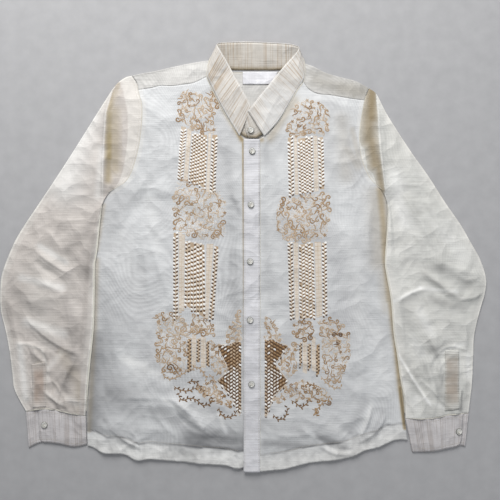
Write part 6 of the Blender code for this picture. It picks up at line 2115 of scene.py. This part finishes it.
def build_camera():
    """Straight down on the shirt, as in the photograph."""
    cam = bpy.data.cameras.new("photo_camera")
    cam.lens = 50.0
    cam.sensor_width = 36.0
    cam.clip_start = 0.05
    obj = bpy.data.objects.new("photo_camera", cam)
    obj.location = (*(Vector(PICTURE_CENTRE) * SCALE), CAMERA_HEIGHT)
    bpy.context.scene.collection.objects.link(obj)
    bpy.context.scene.camera = obj
    bpy.context.scene.view_settings.view_transform = "Standard"


def sew_placket(on_front):
    """Two stitch rows down the front strip, and the joint beside it."""
    top = STRIP_TOP
    bottom = HEM["l"][0][1]
    on_strip = caster("cloth_placket")
    for inset in (2.2, PLACKET_WIDTH - 2.2):
        x = STRIP_RIGHT + inset
        stitch_line([(x, top - 6.0), (x, 0.0), (x, bottom + 6.0)], on_strip, tone=0.62, width=0.5)
    x = STRIP_LEFT + 0.3
    joint = [(x, y, on_front(x + 1.2, y) + 0.1) for y in np.linspace(top - 3.0, bottom + 2.0, 150)]
    SEWN.ribbon(joint, 1.6, 0.9, 0.1)


def sew_side(side, on_front):
    """Hem, armhole, sleeve edge and cuff of one side."""
    out = SIGN[side]
    hem = [p for p in HEM_LINE[side].pts[::6] if abs(p[0]) < 268.0 and not -4.0 < p[0] < 38.0]
    stitch_line([(x, y + HEM_TURN - 3.0) for x, y in hem], on_front, tone=0.55, width=0.45)
    sleeve = caster("cloth_sleeve_" + WORD[side])
    body = caster("cloth_front_" + WORD[side])
    cuff = caster("cloth_cuff_" + WORD[side])
    welt = []
    for k in np.linspace(0.0, 1.0, 60)[4:-3]:
        x, y = ARM[side].at(k)
        welt.append((x - out * 0.1, y, max(sleeve(x - out * 1.4, y), 2.0) - 0.1))
    SEWN.ribbon(welt, 1.7, 0.55, 0.22)
    rows = [ARM[side].at(k) for k in np.linspace(0.05, 0.95, 24)]
    stitch_line([(x - out * 5.5, y) for x, y in rows], sleeve, tone=0.45, width=0.42)
    edge = []
    for k in np.linspace(0.07, 0.965, 150):
        x, y = sleeve_plan(side, k, np.array([1.0]))[0]
        high = max(sleeve(x - out * 2.4, y), body(x + out * 2.2, y), 1.6)
        edge.append((x + out * 0.9, y, high - 0.5))
    SEWN.ribbon(edge, 2.7, 0.6, 0.06)
    join = []
    for k in np.linspace(0.02, 0.98, 80):
        x, y = CUFF_TOP[side].at(k)
        join.append((x, y, max(sleeve(x, y + 2.6), cuff(x, y - 2.6)) - 0.4))
    SEWN.ribbon(join, 2.4, 0.6, 0.12)
    across = np.linspace(0.04, 0.96, 14)
    top = CUFF_TOP[side].at(across)
    end = CUFF_END[side].at(across)
    for share in (0.10, 0.90):
        stitch_line(top + (end - top) * share, cuff, tone=0.6, width=0.45)


def sew_collar(on_front):
    """A tan ribbon under the leaves' outer edges, painted soft shadow that fills the gap, and the stitch row
    along them.
    """
    fall = caster("cloth_collar_fall")
    edge = []
    rim = []
    for row in smooth_line(COLLAR, 3)[2:-2]:
        free = row[6:8]
        out = row[3:5] - free
        far = np.linalg.norm(out)
        if far > 12.0:
            x, y = free - out / far * 0.3
            dx, dy = out / far * 2.4
            rim.append((x, y, (fall(x + dx, y + dy) + on_front(x - dx, y - dy)) / 2 - 0.3))
        if far > 24.0:
            edge.append(tuple(free + out / far * 5.0))
    # The ribbon is painted soft shadow under the leaves' edges.
    for half in (rim[:len(rim) // 2], rim[len(rim) // 2:]):
        SEWN.ribbon(half, 2.4, 0.6, 0.2)
    for half in (edge[:len(edge) // 2], edge[len(edge) // 2:]):
        if len(half) > 2:
            stitch_line(half, fall, tone=0.6, width=0.5)


def sew_seams():
    """Rows of machine stitches along bands, collar, cuffs, hem and seams."""
    on_front = fronts_reader()
    sew_placket(on_front)
    for side in ("r", "l"):
        sew_side(side, on_front)
    sew_collar(on_front)
    SEWN.build("stitching", M_STITCH, "placket_cloth")


# The pieces, from the surface upwards; each one is read by those that lie on it.
build_back()
build_yoke()
front_shell("r")
build_placket(front_shell("l"))
for build in (build_sleeve, build_sleeve_placket, build_cuff):
    for side in ("r", "l"):
        build(side)
build_collar()
build_label()
bpy.context.view_layer.update()
build_embroidery()
for row in BUTTONS:
    build_button(*row)
sew_seams()
build_floor()
build_lights()
build_camera()
